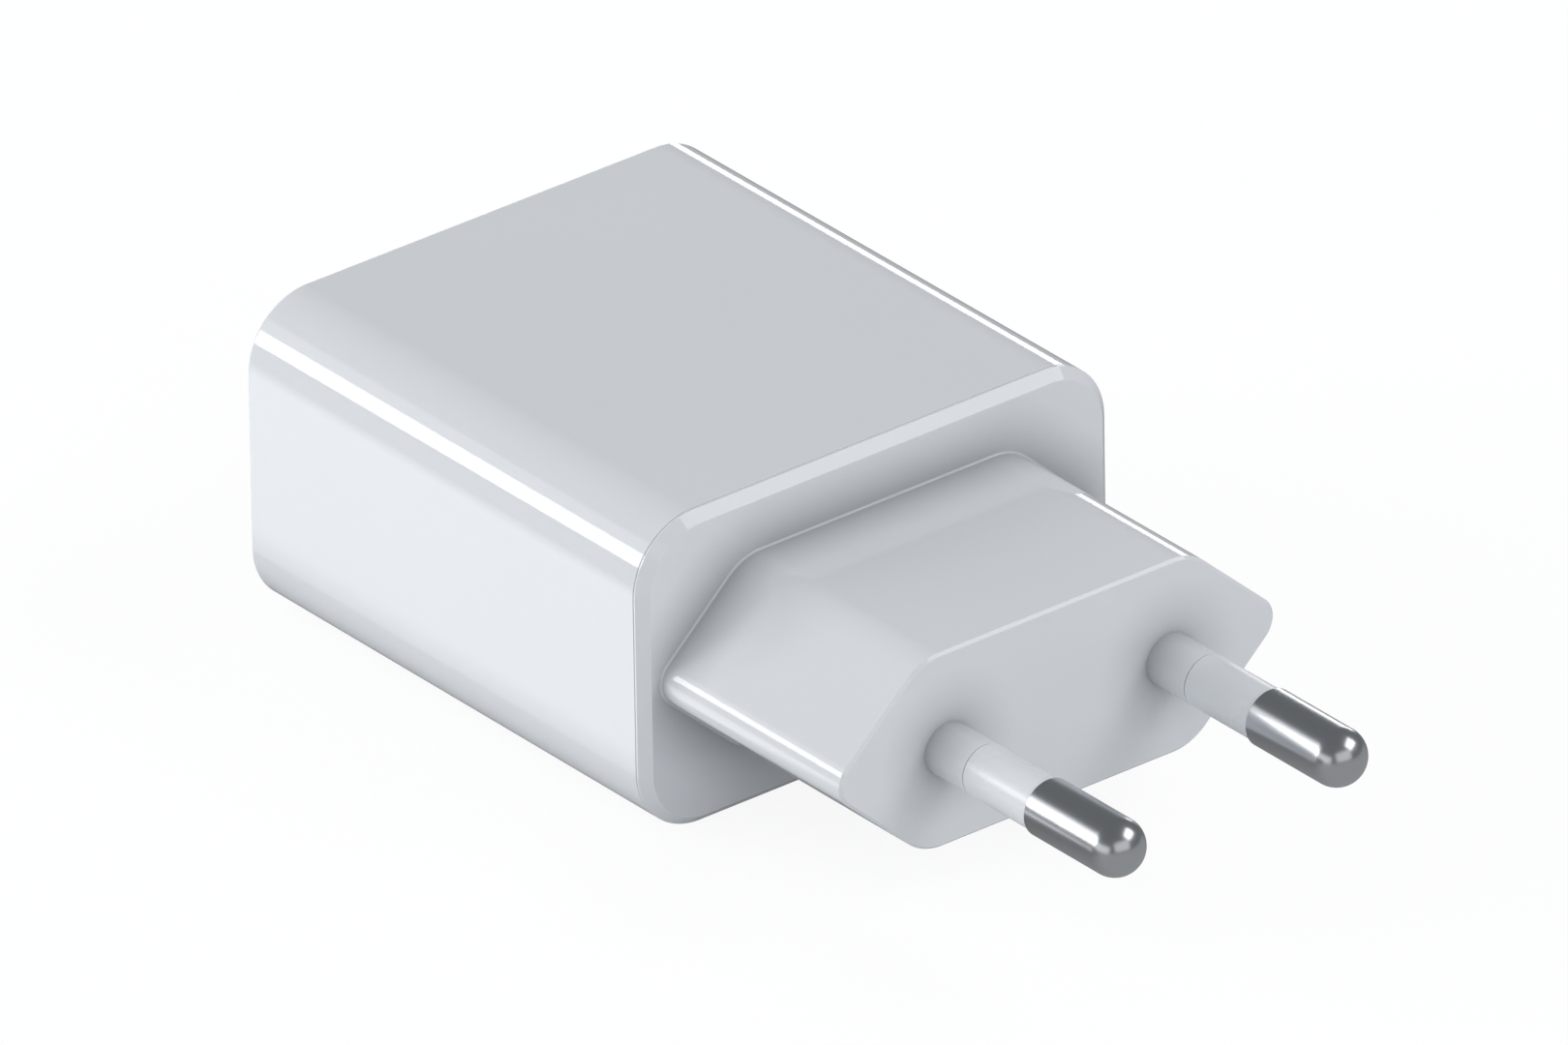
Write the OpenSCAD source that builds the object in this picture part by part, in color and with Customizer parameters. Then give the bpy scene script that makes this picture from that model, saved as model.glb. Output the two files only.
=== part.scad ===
// USB wall charger with a fixed two-pin round plug and one USB-A port.
// Frame: the origin is the centre of the plug's contact face, midway between the pins.
// +X runs along the pin pair, +Y from the plug face back to the USB end, +Z is up.
// The pins point along -Y. All sizes are millimetres.

/* [Body] */
// Width of the body
body_w = 38.2; // [37.5:0.1:50]
// Height of the body
body_h = 22.4; // [22:0.1:30]
// Length of the body, from its front rim to the USB end
body_l = 40.4; // [40:0.1:52]
// Radius of the body's four long edges
body_r = 4.9; // [4:0.1:6]
// Chamfer round the front rim
rim_chamfer = 0.7; // [0.4:0.05:1]
// Plain band between the rim chamfer and the seam
rim_land = 0.15; // [0.1:0.05:0.4]
// Chamfer round the USB end
end_chamfer = 0.4; // [0.2:0.05:0.8]
// Side walls of the body shell
wall = 1.6; // [1.2:0.1:2]
// Wall that closes the USB end
end_wall = 1.8; // [1.4:0.1:2.4]

/* [Plug nose] */
// Width of the plug nose over its rounded side corners
nose_w = 35.3; // [34.6:0.1:36]
// Height of the plug nose
nose_h = 13.9; // [13:0.1:14.4]
// Length of the plug nose, from the plug face to the body's front rim
nose_l = 18.0; // [17.5:0.1:22]
// Slope of the four slanting walls, from the horizontal
nose_slant = 42.6; // [40:0.1:46]
// Radius where a slanting wall meets the top or the bottom
nose_edge_r = 3.9; // [2.5:0.1:5]
// Radius of the two side corners
nose_side_r = 1.8; // [1.7:0.1:2.4]
// Walls of the nose
nose_wall = 1.6; // [1.2:0.1:1.7]
// Thickness of the plug face
face_t = 2.0; // [1.6:0.1:3]
// Thickness of the front plate round the nose
plate_t = 2.0; // [1.4:0.1:3]
// Length of the spigot that slides into the body shell
spigot_l = 1.5; // [1:0.1:1.8]
// Wall of the spigot
spigot_wall = 1.2; // [0.8:0.1:1.5]

/* [Pins] */
// Distance between the two pins, centre to centre
pin_spacing = 18.0; // [17:0.1:19.2]
// Diameter of the bare metal at the pin's end
pin_d = 4.0; // [3.94:0.01:4.8]
// Length of a pin in front of the plug face
pin_l = 18.6; // [18.5:0.1:19.5]
// Diameter of the insulating sleeve
sleeve_d = 3.68; // [3.4:0.01:3.8]
// Distance from the plug face to the end of the sleeve
sleeve_end = 10.0; // [9.5:0.1:11]
// Length of the moulded collar at the foot of each pin
collar_l = 3.7; // [2:0.1:5]
// Diameter of the pin's core inside the sleeve
pin_core_d = 2.8; // [2.4:0.1:3]
// Diameter of the flange that seats behind the plug face
pin_flange_d = 5.2; // [4.2:0.1:6.2]
// Thickness of that flange
pin_flange_t = 1.2; // [0.8:0.1:1.6]
// Diameter of the pin's riveted tail
pin_tail_d = 2.0; // [1.6:0.1:2.4]
// Thickness of the carrier that locks the pins in the nose
carrier_t = 2.4; // [2:0.1:3.2]

/* [USB port] */
// Inner width of the receptacle
usb_in_w = 12.5; // [12.3:0.05:15]
// Inner height of the receptacle
usb_in_h = 5.12; // [4.9:0.01:6.2]
// Sheet thickness of the receptacle's metal shell
usb_sheet = 0.3; // [0.2:0.05:0.4]
// Length of the receptacle
usb_l = 12.0; // [11.5:0.1:13]
// Depth of the receptacle's mouth below the end face
usb_recess = 0.4; // [0.2:0.1:1]
// Width of the tongue
tongue_w = 11.1; // [10.8:0.1:11.4]
// Thickness of the tongue
tongue_t = 1.84; // [1.7:0.01:2]
// Distance from the receptacle's mouth back to the tongue's tip
tongue_recess = 1.8; // [0.6:0.1:2.4]
// Width of a spring contact
contact_w = 0.9; // [0.7:0.05:1]
// Thickness of the contact strip
contact_t = 0.2; // [0.15:0.01:0.25]
// How far a contact bulges out of the tongue
contact_bulge = 0.38; // [0.2:0.01:0.5]

/* [Circuit board] */
// Thickness of the circuit board
board_t = 1.2; // [0.8:0.1:1.6]
// Gap between the board's edge and the body's inner wall
board_edge_gap = 0.2; // [0.1:0.05:0.4]
// Depth of the rails that hold the board's edges
rail_d = 1.2; // [0.8:0.1:1.6]
// Width of the board's front strip, which reaches into the nose
strip_w = 21.0; // [18:0.1:22]

/* [Components] */
// Length of an input capacitor
input_can_l = 12.0; // [9:0.5:12]
// Diameter of an output capacitor
output_can_d = 8.0; // [6.3:0.1:8]
// Height of an output capacitor
output_can_l = 9.0; // [7:0.5:11]
// Width of the transformer core
core_w = 13.4; // [12:0.1:15]
// Length of the transformer core
core_l = 12.4; // [11:0.1:13.4]
// Thickness of the transformer core
core_t = 6.1; // [5:0.1:6.4]
// Width of the core's middle leg
core_leg = 2.8; // [2.4:0.1:3.2]
// Thickness of the core's outer legs and backs
core_side = 1.9; // [1.6:0.1:2.2]

/* [Clearances] */
// Hairline between the plug cap's rim and the body shell
seam_gap = 0.06; // [0.03:0.01:0.2]
// Sliding gap of the spigot, the carrier and the tongue block
slip_gap = 0.05; // [0.02:0.01:0.1]
// Gap round a pressed or soldered pin
press_gap = 0.02; // [0.01:0.01:0.04]
// Gap round the USB receptacle in the end wall
port_gap = 0.2; // [0.1:0.05:0.3]
// Gap above and below the board in its rails
board_gap = 0.08; // [0.04:0.01:0.15]
// Gap beside a spring contact in its groove
groove_gap = 0.15; // [0.1:0.01:0.2]

/* [Hidden] */
$fn = 64;

// lengthwise stations
rim_y = nose_l;
seam_y = rim_y + rim_chamfer + rim_land;
plate_y = rim_y + plate_t;
end_y = rim_y + body_l;
inner_end_y = end_y - end_wall;

// inside of the body shell
in_w = body_w - 2 * wall;
in_h = body_h - 2 * wall;
in_r = body_r - wall;

// hexagon of the nose: half width at the sharp side corners
nose_half_w = nose_w / 2 + nose_side_r * (1 / sin(nose_slant) - 1);
least_corner_r = 0.3;

// USB receptacle, centred in the end wall
usb_w = usb_in_w + 2 * usb_sheet;
usb_h = usb_in_h + 2 * usb_sheet;
usb_mouth_y = end_y - usb_recess;
usb_back_y = usb_mouth_y - usb_l;
block_t = 1.6;
tongue_y0 = usb_back_y + block_t;
tongue_y1 = usb_mouth_y - tongue_recess;
tongue_z0 = 0.06;
contact_x = [-3.5, -1.0, 1.0, 3.5];
groove_w = contact_w + 2 * groove_gap;
groove_h = 1.1;
groove_end_y = tongue_y1 - 0.9;
contact_z = tongue_z0 + 0.28;
contact_y0 = tongue_y0 + 0.4;
contact_y1 = groove_end_y - 0.2;
tail_y = usb_back_y - 0.5;
tail_hole_gap = 0.05;

// circuit board: the receptacle sits on its top side
board_z1 = -usb_h / 2;
board_z0 = board_z1 - board_t;
board_w = in_w - 2 * board_edge_gap;
board_y1 = inner_end_y - 0.3;
board_y0 = plate_y + spigot_l + 0.5;
strip_y0 = 7.0;
rail_t = 1.0;
rail_y0 = board_y0 + 5;

// wire leads go through the board and stand out below it
lead_r = 0.3;
lead_hole_r = 0.45;
lead_bend_r = 0.8;
lead_z0 = board_z0 - 1.0;
solder_r = 0.7;
solder_h = 0.6;

// pin carrier and contact strips
carrier_y1 = face_t + carrier_t;
strip_t = 0.4;
strip_band = 3.0;
strip_foot_y = 11.0;
rivet_r = 1.6;
rivet_t = 0.5;

// input capacitors lie side by side in the nose, on the board's strip
can_gap = 0.1;
input_can_d = nose_h / 2 - nose_wall - board_z1 - 2 * can_gap;
input_can_x = input_can_d / 2 + 0.2;
input_can_z = board_z1 + can_gap + input_can_d / 2;
input_lead_y = rim_y + plate_t + 0.8;
input_can_y1 = input_lead_y - 1.3;
can_pitch = 3.5;

// transformer
core_y = board_y0 + 9;
bobbin_wall = 0.5;
bobbin_fit = 0.1;
flange_t = 0.7;
flange_z = 5.8;
core_z = board_z1 + bobbin_fit + flange_z;
bobbin_y = core_l / 2 - core_side - bobbin_fit;
tube_w = core_leg + 2 * (bobbin_fit + bobbin_wall);
tube_h = core_t + 2 * (bobbin_fit + bobbin_wall);
tube_r = 0.4;
primary_t = 1.1;
secondary_t = 0.75;
tape_t = 0.12;
layer_gap = 0.02;
foot_y = core_l / 2 + 0.8;
transformer_pin_x = [-4.5, -1.5, 1.5, 4.5];
transformer_pin_y = core_l / 2;

// other parts on the board's top side
resistor_y = board_y0 + 0.6;
resistor_x = [0.6, 12.4];
resistor_d = 2.6;
choke_x = -10.5;
choke_y = board_y0 + 2.0;
choke_r = 2.6;
choke_h = 7.0;
choke_hub_r = 1.2;
choke_rim_t = 0.9;
choke_pitch = 3.0;
coupler_x = -12;
coupler_w = 4.6;
coupler_l = 6.5;
coupler_h = 3.5;
coupler_pitch_x = 2.54;
coupler_pitch_y = 7.62;
y_can_x = 12.6;
y_can_d = 7.5;
y_can_t = 3.2;
y_can_lift = 1.2;
y_can_pitch = 7.5;
output_can_x = 11.5;
output_can_y = usb_back_y - output_can_d / 2;
output_can_lift = 0.2;

// surface-mount parts on the board's underside
chip_size = [2.0, 1.25, 0.6];
chip_places = [
    [-2.2, -3.2], [2.2, -3.2], [-2.2, 3], [2.2, 3],
    [-7, 4], [7, 4], [-6.5, 9.5], [-2.5, 10]
];
chip_cap = 0.35;
controller_at = [-7.2, core_y - 2.5];
rectifier_at = [8.2, core_y - 3];
output_diode_at = [3, core_y + 10];

// sheet that keeps the solder side off the shell
sheet_t = 0.25;
sheet_w = in_w - 2 * in_r - 1;

// ---- shared shapes ----

// Extrudes a flat outline given in X and Z from y0 to y1
module along_y(y0, y1) {
    translate([0, y1, 0])
        rotate([90, 0, 0])
            linear_extrude(height = y1 - y0)
                children();
}

// Extrudes a flat outline given in Y and Z from x0 to x1
module along_x(x0, x1) {
    translate([x0, 0, 0])
        rotate([90, 0, 90])
            linear_extrude(height = x1 - x0)
                children();
}

// Turns a flat outline of radius and length into a round piece along +Y
module turned_y() {
    rotate([-90, 0, 0])
        rotate_extrude()
            children();
}

// Rectangle with round corners, centred
module rounded_rect(w, h, r) {
    square([w - 2 * r, h], center = true);
    square([w, h - 2 * r], center = true);
    for (sx = [-1, 1], sz = [-1, 1])
        translate([sx * (w / 2 - r), sz * (h / 2 - r)])
            circle(r = r);
}

// Outer edge of a block as [distance from the axis, y], with a chamfer at each end
function edge_line(d, y0, y1, c0, c1) = concat(
    c0 > 0 ? [[d - c0, y0], [d, y0 + c0]] : [[d, y0]],
    c1 > 0 ? [[d, y1 - c1], [d - c1, y1]] : [[d, y1]]
);
function mirrored(p) = concat(p, [for (i = [len(p) - 1 : -1 : 0]) [-p[i][0], p[i][1]]]);
function swapped(p) = [for (q = p) [q[1], q[0]]];

// Block along Y with round long edges, and a chamfer of c0 and c1 round its ends
module chamfered_block(w, h, r, y0, y1, c0, c1) {
    along_x(r - w / 2, w / 2 - r)
        polygon(swapped(mirrored(edge_line(h / 2, y0, y1, c0, c1))));
    linear_extrude(height = h - 2 * r, center = true)
        polygon(mirrored(edge_line(w / 2, y0, y1, c0, c1)));
    for (sx = [-1, 1], sz = [-1, 1])
        translate([sx * (w / 2 - r), 0, sz * (h / 2 - r)])
            turned_y()
                polygon(concat([[0, y0]], edge_line(r, y0, y1, c0, c1), [[0, y1]]));
}

// Sharp corners of the nose's hexagon, all its walls moved inwards by d
function hex_corners(d) =
    let (x = nose_half_w - d / sin(nose_slant), z = nose_h / 2 - d, f = x - z / tan(nose_slant))
    [[x, 0], [f, z], [-f, z], [-x, 0], [-f, -z], [f, -z]];
function hex_radii(d) =
    let (e = max(nose_edge_r - d, least_corner_r), s = max(nose_side_r - d, least_corner_r))
    [s, e, e, s, e, e];

// Tangent points and centre of the arc that rounds corner i of outline p to radius r
function unit(v) = v / norm(v);
function arc_parts(p, i, r) =
    let (
        a = unit(p[(i + len(p) - 1) % len(p)] - p[i]),
        b = unit(p[(i + 1) % len(p)] - p[i]),
        half = acos(a * b) / 2
    )
    [p[i] + a * r / tan(half), p[i] + b * r / tan(half), p[i] + unit(a + b) * r / sin(half)];

// The nose's hexagon with round corners, moved inwards by d: the polygon through all
// tangent points, and a circle at each corner
module nose_outline(d) {
    p = hex_corners(d);
    r = hex_radii(d);
    polygon([for (i = [0 : 5], k = [0, 1]) arc_parts(p, i, r[i])[k]]);
    for (i = [0 : 5])
        translate(arc_parts(p, i, r[i])[2])
            circle(r = r[i]);
}

// Round wire lead through the board, from height z1
module lead(x, y, z1) {
    translate([x, y, lead_z0])
        cylinder(r = lead_r, h = z1 - lead_z0, $fn = 24);
}

// Wire lead that runs along +Y from the origin, bends down and ends at depth drop
module bent_lead(run, drop) {
    rotate([-90, 0, 0])
        cylinder(r = lead_r, h = run - lead_bend_r, $fn = 24);
    translate([0, run - lead_bend_r, -lead_bend_r])
        rotate([0, -90, 0])
            rotate_extrude(angle = 90, $fn = 24)
                translate([lead_bend_r, 0])
                    circle(r = lead_r, $fn = 24);
    translate([0, run, -drop])
        cylinder(r = lead_r, h = drop - lead_bend_r, $fn = 24);
}

// Aluminium can capacitor standing on z = 0, crimped near its rubber bung
module can(d, h) {
    bevel = 0.4;
    crimp_z = 1.5;
    crimp = 0.35;
    rotate_extrude()
        polygon([
            [0, 0], [d / 2 - bevel, 0], [d / 2, bevel], [d / 2, crimp_z - crimp],
            [d / 2 - crimp, crimp_z], [d / 2, crimp_z + crimp], [d / 2, h - bevel],
            [d / 2 - bevel, h], [0, h]
        ]);
}

// Moulded package on z = 0 with n bent legs along each of its two y sides
module gull_package(w, l, h, n, pitch, leg_w) {
    lift = 0.1;
    leg_t = 0.2;
    reach = 1.0;
    knee = 0.4;
    mid = lift + h / 2;
    translate([-w / 2, -l / 2, lift])
        cube([w, l, h]);
    for (side = [0, 1], i = [0 : n - 1])
        mirror([0, side, 0])
            along_x((i - (n - 1) / 2) * pitch - leg_w / 2, (i - (n - 1) / 2) * pitch + leg_w / 2)
                polygon([
                    [l / 2 - leg_t, mid], [l / 2 + knee, mid], [l / 2 + knee, leg_t],
                    [l / 2 + reach, leg_t], [l / 2 + reach, 0], [l / 2 + knee - leg_t, 0],
                    [l / 2 + knee - leg_t, mid - leg_t], [l / 2 - leg_t, mid - leg_t]
                ]);
}

// Puts a surface-mount part upside down on the board's underside
module under_board(at) {
    translate([at[0], at[1], board_z0])
        mirror([0, 0, 1])
            children();
}

// ---- casing ----

// One rail above and one below each long edge of the board
module board_rails() {
    root = wall / 2;
    for (side = [0, 1], z = [board_z1 + board_gap, board_z0 - board_gap - rail_t])
        mirror([side, 0, 0])
            translate([in_w / 2 - rail_d, rail_y0, z])
                cube([rail_d + root, inner_end_y + root - rail_y0, rail_t]);
}

module housing_shell() {
    port_r = 0.6;
    color("white") {
        difference() {
            chamfered_block(body_w, body_h, body_r, seam_y + seam_gap, end_y, 0, end_chamfer);
            along_y(rim_y, inner_end_y)
                rounded_rect(in_w, in_h, in_r);
            along_y(inner_end_y - 1, end_y + 1)
                rounded_rect(usb_w + 2 * port_gap, usb_h + 2 * port_gap, port_r);
        }
        board_rails();
    }
}

module plug_cap() {
    spigot_y1 = plate_y + spigot_l;
    spigot_w = in_w - 2 * slip_gap;
    spigot_h = in_h - 2 * slip_gap;
    spigot_r = in_r - slip_gap;
    color("white")
        difference() {
            union() {
                along_y(0, rim_y + rim_chamfer)
                    nose_outline(0);
                chamfered_block(body_w, body_h, body_r, rim_y, seam_y, rim_chamfer, 0);
                along_y(rim_y + rim_chamfer, spigot_y1)
                    rounded_rect(spigot_w, spigot_h, spigot_r);
                for (side = [-1, 1])
                    translate([side * pin_spacing / 2, -collar_l, 0])
                        rotate([-90, 0, 0])
                            cylinder(d = sleeve_d, h = collar_l + face_t / 2);
            }
            along_y(face_t, plate_y + 1)
                nose_outline(nose_wall);
            along_y(plate_y, spigot_y1 + 1)
                rounded_rect(
                    spigot_w - 2 * spigot_wall,
                    spigot_h - 2 * spigot_wall,
                    spigot_r - spigot_wall
                );
            for (side = [-1, 1])
                translate([side * pin_spacing / 2, -collar_l - 1, 0])
                    rotate([-90, 0, 0])
                        cylinder(d = pin_core_d + 2 * press_gap, h = collar_l + face_t + 2);
        }
}

// ---- plug pins ----

// Turned pin: domed end, necked core, flange behind the face, riveted tail
module pin(side) {
    dome_y = pin_d / 2 - pin_l;
    tail_y1 = carrier_y1 + strip_t + rivet_t;
    color("silver")
        translate([side * pin_spacing / 2, 0, 0]) {
            intersection() {
                translate([0, dome_y, 0])
                    sphere(d = pin_d);
                translate([-pin_d, -pin_l - 1, -pin_d])
                    cube([2 * pin_d, dome_y + pin_l + 1, 2 * pin_d]);
            }
            turned_y()
                polygon([
                    [0, dome_y], [pin_d / 2, dome_y], [pin_d / 2, -sleeve_end],
                    [pin_core_d / 2, -sleeve_end], [pin_core_d / 2, face_t],
                    [pin_flange_d / 2, face_t], [pin_flange_d / 2, face_t + pin_flange_t],
                    [pin_tail_d / 2, face_t + pin_flange_t],
                    [pin_tail_d / 2, carrier_y1 + strip_t],
                    [rivet_r, carrier_y1 + strip_t], [rivet_r, tail_y1], [0, tail_y1]
                ]);
        }
}

module pin_left() {
    pin(-1);
}

module pin_right() {
    pin(1);
}

// Plastic tube between the collar and the bare metal
module sleeve(side) {
    ring_gap = 0.08;
    color("white")
        translate([side * pin_spacing / 2, 0, 0])
            turned_y()
                polygon([
                    [pin_core_d / 2 + press_gap, press_gap - sleeve_end],
                    [sleeve_d / 2, press_gap - sleeve_end],
                    [sleeve_d / 2, -collar_l - ring_gap],
                    [pin_core_d / 2 + press_gap, -collar_l - ring_gap]
                ]);
}

module sleeve_left() {
    sleeve(-1);
}

module sleeve_right() {
    sleeve(1);
}

// Insert behind the plug face that locks the pins' flanges
module pin_carrier() {
    color("lightgray")
        difference() {
            along_y(face_t, carrier_y1)
                nose_outline(nose_wall + slip_gap);
            for (side = [-1, 1])
                translate([side * pin_spacing / 2, 0, 0])
                    turned_y()
                        polygon([
                            [0, face_t - 1], [pin_flange_d / 2 + press_gap, face_t - 1],
                            [pin_flange_d / 2 + press_gap, face_t + pin_flange_t + press_gap],
                            [pin_tail_d / 2 + press_gap, face_t + pin_flange_t + press_gap],
                            [pin_tail_d / 2 + press_gap, carrier_y1 + 1], [0, carrier_y1 + 1]
                        ]);
        }
}

// Bent brass strip from a pin's tail down to the board
module pin_strip(side) {
    top_z = rivet_r + 0.6;
    color("goldenrod")
        difference() {
            along_x(side * pin_spacing / 2 - strip_band / 2, side * pin_spacing / 2 + strip_band / 2)
                polygon([
                    [carrier_y1, top_z], [carrier_y1 + strip_t, top_z],
                    [carrier_y1 + strip_t, board_z1 + strip_t],
                    [strip_foot_y, board_z1 + strip_t], [strip_foot_y, board_z1],
                    [carrier_y1, board_z1]
                ]);
            translate([side * pin_spacing / 2, carrier_y1 - 1, 0])
                rotate([-90, 0, 0])
                    cylinder(d = pin_tail_d + 2 * press_gap, h = strip_t + 2);
        }
}

module pin_strip_left() {
    pin_strip(-1);
}

module pin_strip_right() {
    pin_strip(1);
}

// ---- circuit board ----

input_leads = [for (sx = [-1, 1], k = [-1, 1]) [sx * input_can_x + k * can_pitch / 2, input_lead_y]];
resistor_leads = [for (x = resistor_x) [x, resistor_y]];
choke_leads = [for (k = [-1, 1]) [choke_x + k * choke_pitch / 2, choke_y]];
coupler_leads = [
    for (i = [-1, 1], k = [-1, 1])
        [coupler_x + i * coupler_pitch_x / 2, core_y + k * coupler_pitch_y / 2]
];
transformer_leads = [
    for (x = transformer_pin_x, k = [-1, 1])
        [x, core_y + k * transformer_pin_y]
];
y_can_leads = [for (k = [-1, 1]) [y_can_x, core_y + k * y_can_pitch / 2]];
output_leads = [
    for (sx = [-1, 1], k = [-1, 1])
        [sx * output_can_x + k * can_pitch / 2, output_can_y]
];
usb_tail_leads = [for (x = contact_x) [x, tail_y]];
all_leads = concat(
    input_leads, resistor_leads, choke_leads, coupler_leads, transformer_leads,
    y_can_leads, output_leads, usb_tail_leads
);
shell_leg_w = 1.4;
shell_leg_y = [usb_back_y + 3, inner_end_y - 2.2];

module circuit_board() {
    slot_w = 1.0;
    slot_l = 9.0;
    leg_slot = [1.0, shell_leg_w + 0.6];
    color("darkgreen")
        translate([0, 0, board_z0])
            linear_extrude(height = board_t)
                difference() {
                    union() {
                        translate([-board_w / 2, board_y0])
                            square([board_w, board_y1 - board_y0]);
                        translate([-strip_w / 2, strip_y0])
                            square([strip_w, board_y0 + 1 - strip_y0]);
                    }
                    for (p = all_leads)
                        translate(p)
                            circle(r = lead_hole_r, $fn = 24);
                    for (sx = [-1, 1], y = shell_leg_y)
                        translate([sx * (usb_w - usb_sheet) / 2, y])
                            square(leg_slot, center = true);
                    translate([0, core_y])
                        square([slot_l, slot_w], center = true);
                }
}

// Cone of solder round each lead, on the underside
module solder_joints() {
    color("silver")
        for (p = all_leads)
            translate([p[0], p[1], board_z0])
                mirror([0, 0, 1])
                    rotate_extrude($fn = 24)
                        polygon([
                            [lead_hole_r, 0], [solder_r, 0],
                            [lead_hole_r + 0.05, solder_h], [lead_r + press_gap, solder_h],
                            [lead_r + press_gap, 0.1]
                        ]);
}

// ---- mains side ----

module input_capacitor(side) {
    root = 0.5;
    color("black")
        translate([side * input_can_x, input_can_y1, input_can_z]) {
            rotate([90, 0, 0])
                can(input_can_d, input_can_l);
            for (k = [-1, 1])
                translate([k * can_pitch / 2, -root, 0])
                    bent_lead(input_lead_y - input_can_y1 + root, input_can_z - lead_z0);
        }
}

module input_capacitor_left() {
    input_capacitor(-1);
}

module input_capacitor_right() {
    input_capacitor(1);
}

// Fusible resistor lying across the board, with its two leads bent down
module fusible_resistor() {
    z = board_z1 + resistor_d / 2 + 0.2;
    resistor_bend = 1.4;
    x0 = resistor_x[0] + resistor_bend;
    x1 = resistor_x[1] - resistor_bend;
    root = 0.5;
    waist = 0.25;
    cap_l = 1.8;
    r = resistor_d / 2;
    color("steelblue") {
        translate([x0, resistor_y, z])
            rotate([0, 90, 0])
                rotate_extrude()
                    polygon([
                        [0, 0], [r - waist, 0], [r, waist], [r, cap_l], [r - waist, cap_l + waist],
                        [r - waist, x1 - x0 - cap_l - waist], [r, x1 - x0 - cap_l],
                        [r, x1 - x0 - waist], [r - waist, x1 - x0], [0, x1 - x0]
                    ]);
        for (side = [0, 1])
            translate([side == 0 ? x0 + root : x1 - root, resistor_y, z])
                rotate([0, 0, side == 0 ? 90 : -90])
                    bent_lead(resistor_bend + root, z - lead_z0);
    }
}

// Ferrite drum of the input choke, with two leads
module choke_core() {
    z0 = board_z1 + can_gap;
    hub = choke_hub_r;
    color("dimgray") {
        translate([choke_x, choke_y, z0])
            rotate_extrude()
                polygon([
                    [0, 0], [choke_r, 0], [choke_r, choke_rim_t], [hub, choke_rim_t],
                    [hub, choke_h - choke_rim_t], [choke_r, choke_h - choke_rim_t],
                    [choke_r, choke_h], [0, choke_h]
                ]);
        for (p = choke_leads)
            lead(p[0], p[1], z0 + choke_rim_t / 2);
    }
}

module choke_winding() {
    z0 = board_z1 + can_gap + choke_rim_t + layer_gap;
    color("peru")
        translate([choke_x, choke_y, z0])
            difference() {
                cylinder(r = choke_r - 0.3, h = choke_h - 2 * (choke_rim_t + layer_gap));
                translate([0, 0, -1])
                    cylinder(r = choke_hub_r + layer_gap, h = choke_h);
            }
}

module bridge_rectifier() {
    color("black")
        under_board(rectifier_at)
            gull_package(4.7, 3.8, 2.3, 2, 2.54, 0.7);
}

module controller_chip() {
    color("black")
        under_board(controller_at)
            gull_package(4.9, 3.9, 1.4, 4, 1.27, 0.4);
}

// ---- transformer ----

// E-shaped ferrite half, its back at -Y and its legs towards the middle
module core_half() {
    x2 = core_w / 2;
    x1 = x2 - core_side;
    x0 = core_leg / 2;
    y0 = -core_l / 2;
    y1 = y0 + core_side;
    ye = -layer_gap;
    color("dimgray")
        translate([0, 0, -core_t / 2])
            linear_extrude(height = core_t)
                polygon([
                    [-x2, y0], [x2, y0], [x2, ye], [x1, ye], [x1, y1], [x0, y1], [x0, ye],
                    [-x0, ye], [-x0, y1], [-x1, y1], [-x1, ye], [-x2, ye]
                ]);
}

module transformer_core_front() {
    translate([0, core_y, core_z])
        core_half();
}

module transformer_core_rear() {
    translate([0, core_y, core_z])
        mirror([0, 1, 0])
            core_half();
}

// Bobbin: square tube on the middle leg, two flanges and two pin rails
module transformer_bobbin() {
    flange_w = 2 * (core_w / 2 - core_side - bobbin_fit);
    rail_z0 = -flange_z;
    rail_z1 = -core_t / 2 - bobbin_fit;
    color("black")
        translate([0, core_y, core_z])
            difference() {
                union() {
                    along_y(-bobbin_y, bobbin_y)
                        rounded_rect(tube_w, tube_h, tube_r);
                    for (side = [0, 1])
                        mirror([0, side, 0]) {
                            along_y(bobbin_y - flange_t, bobbin_y)
                                rounded_rect(flange_w, 2 * flange_z, 0.6);
                            translate([-core_w / 2, bobbin_y - flange_t, rail_z0])
                                cube([core_w, foot_y - bobbin_y + flange_t, rail_z1 - rail_z0]);
                        }
                }
                along_y(-core_l, core_l)
                    square([core_leg + 2 * bobbin_fit, core_t + 2 * bobbin_fit], center = true);
                for (x = transformer_pin_x, side = [-1, 1])
                    translate([x, side * transformer_pin_y, rail_z0 - 1])
                        cylinder(r = lead_r + press_gap, h = rail_z1 - rail_z0 - 0.3 + 1, $fn = 24);
            }
}

// Rounded square ring between the flanges, from d0 to d1 outside the tube
module winding_layer(d0, d1) {
    half = bobbin_y - flange_t - layer_gap;
    translate([0, core_y, core_z])
        along_y(-half, half)
            difference() {
                rounded_rect(tube_w + 2 * d1, tube_h + 2 * d1, tube_r + d1);
                rounded_rect(tube_w + 2 * d0, tube_h + 2 * d0, tube_r + d0);
            }
}

module primary_winding() {
    color("peru")
        winding_layer(layer_gap, primary_t);
}

module secondary_winding() {
    color("chocolate")
        winding_layer(primary_t + layer_gap, primary_t + secondary_t);
}

module winding_tape() {
    d0 = primary_t + secondary_t + layer_gap;
    color("gold")
        winding_layer(d0, d0 + tape_t);
}

module transformer_pins() {
    top = core_z - core_t / 2 - bobbin_fit - 0.3 - press_gap;
    color("silver")
        for (p = transformer_leads)
            lead(p[0], p[1], top);
}

// ---- output side ----

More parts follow.
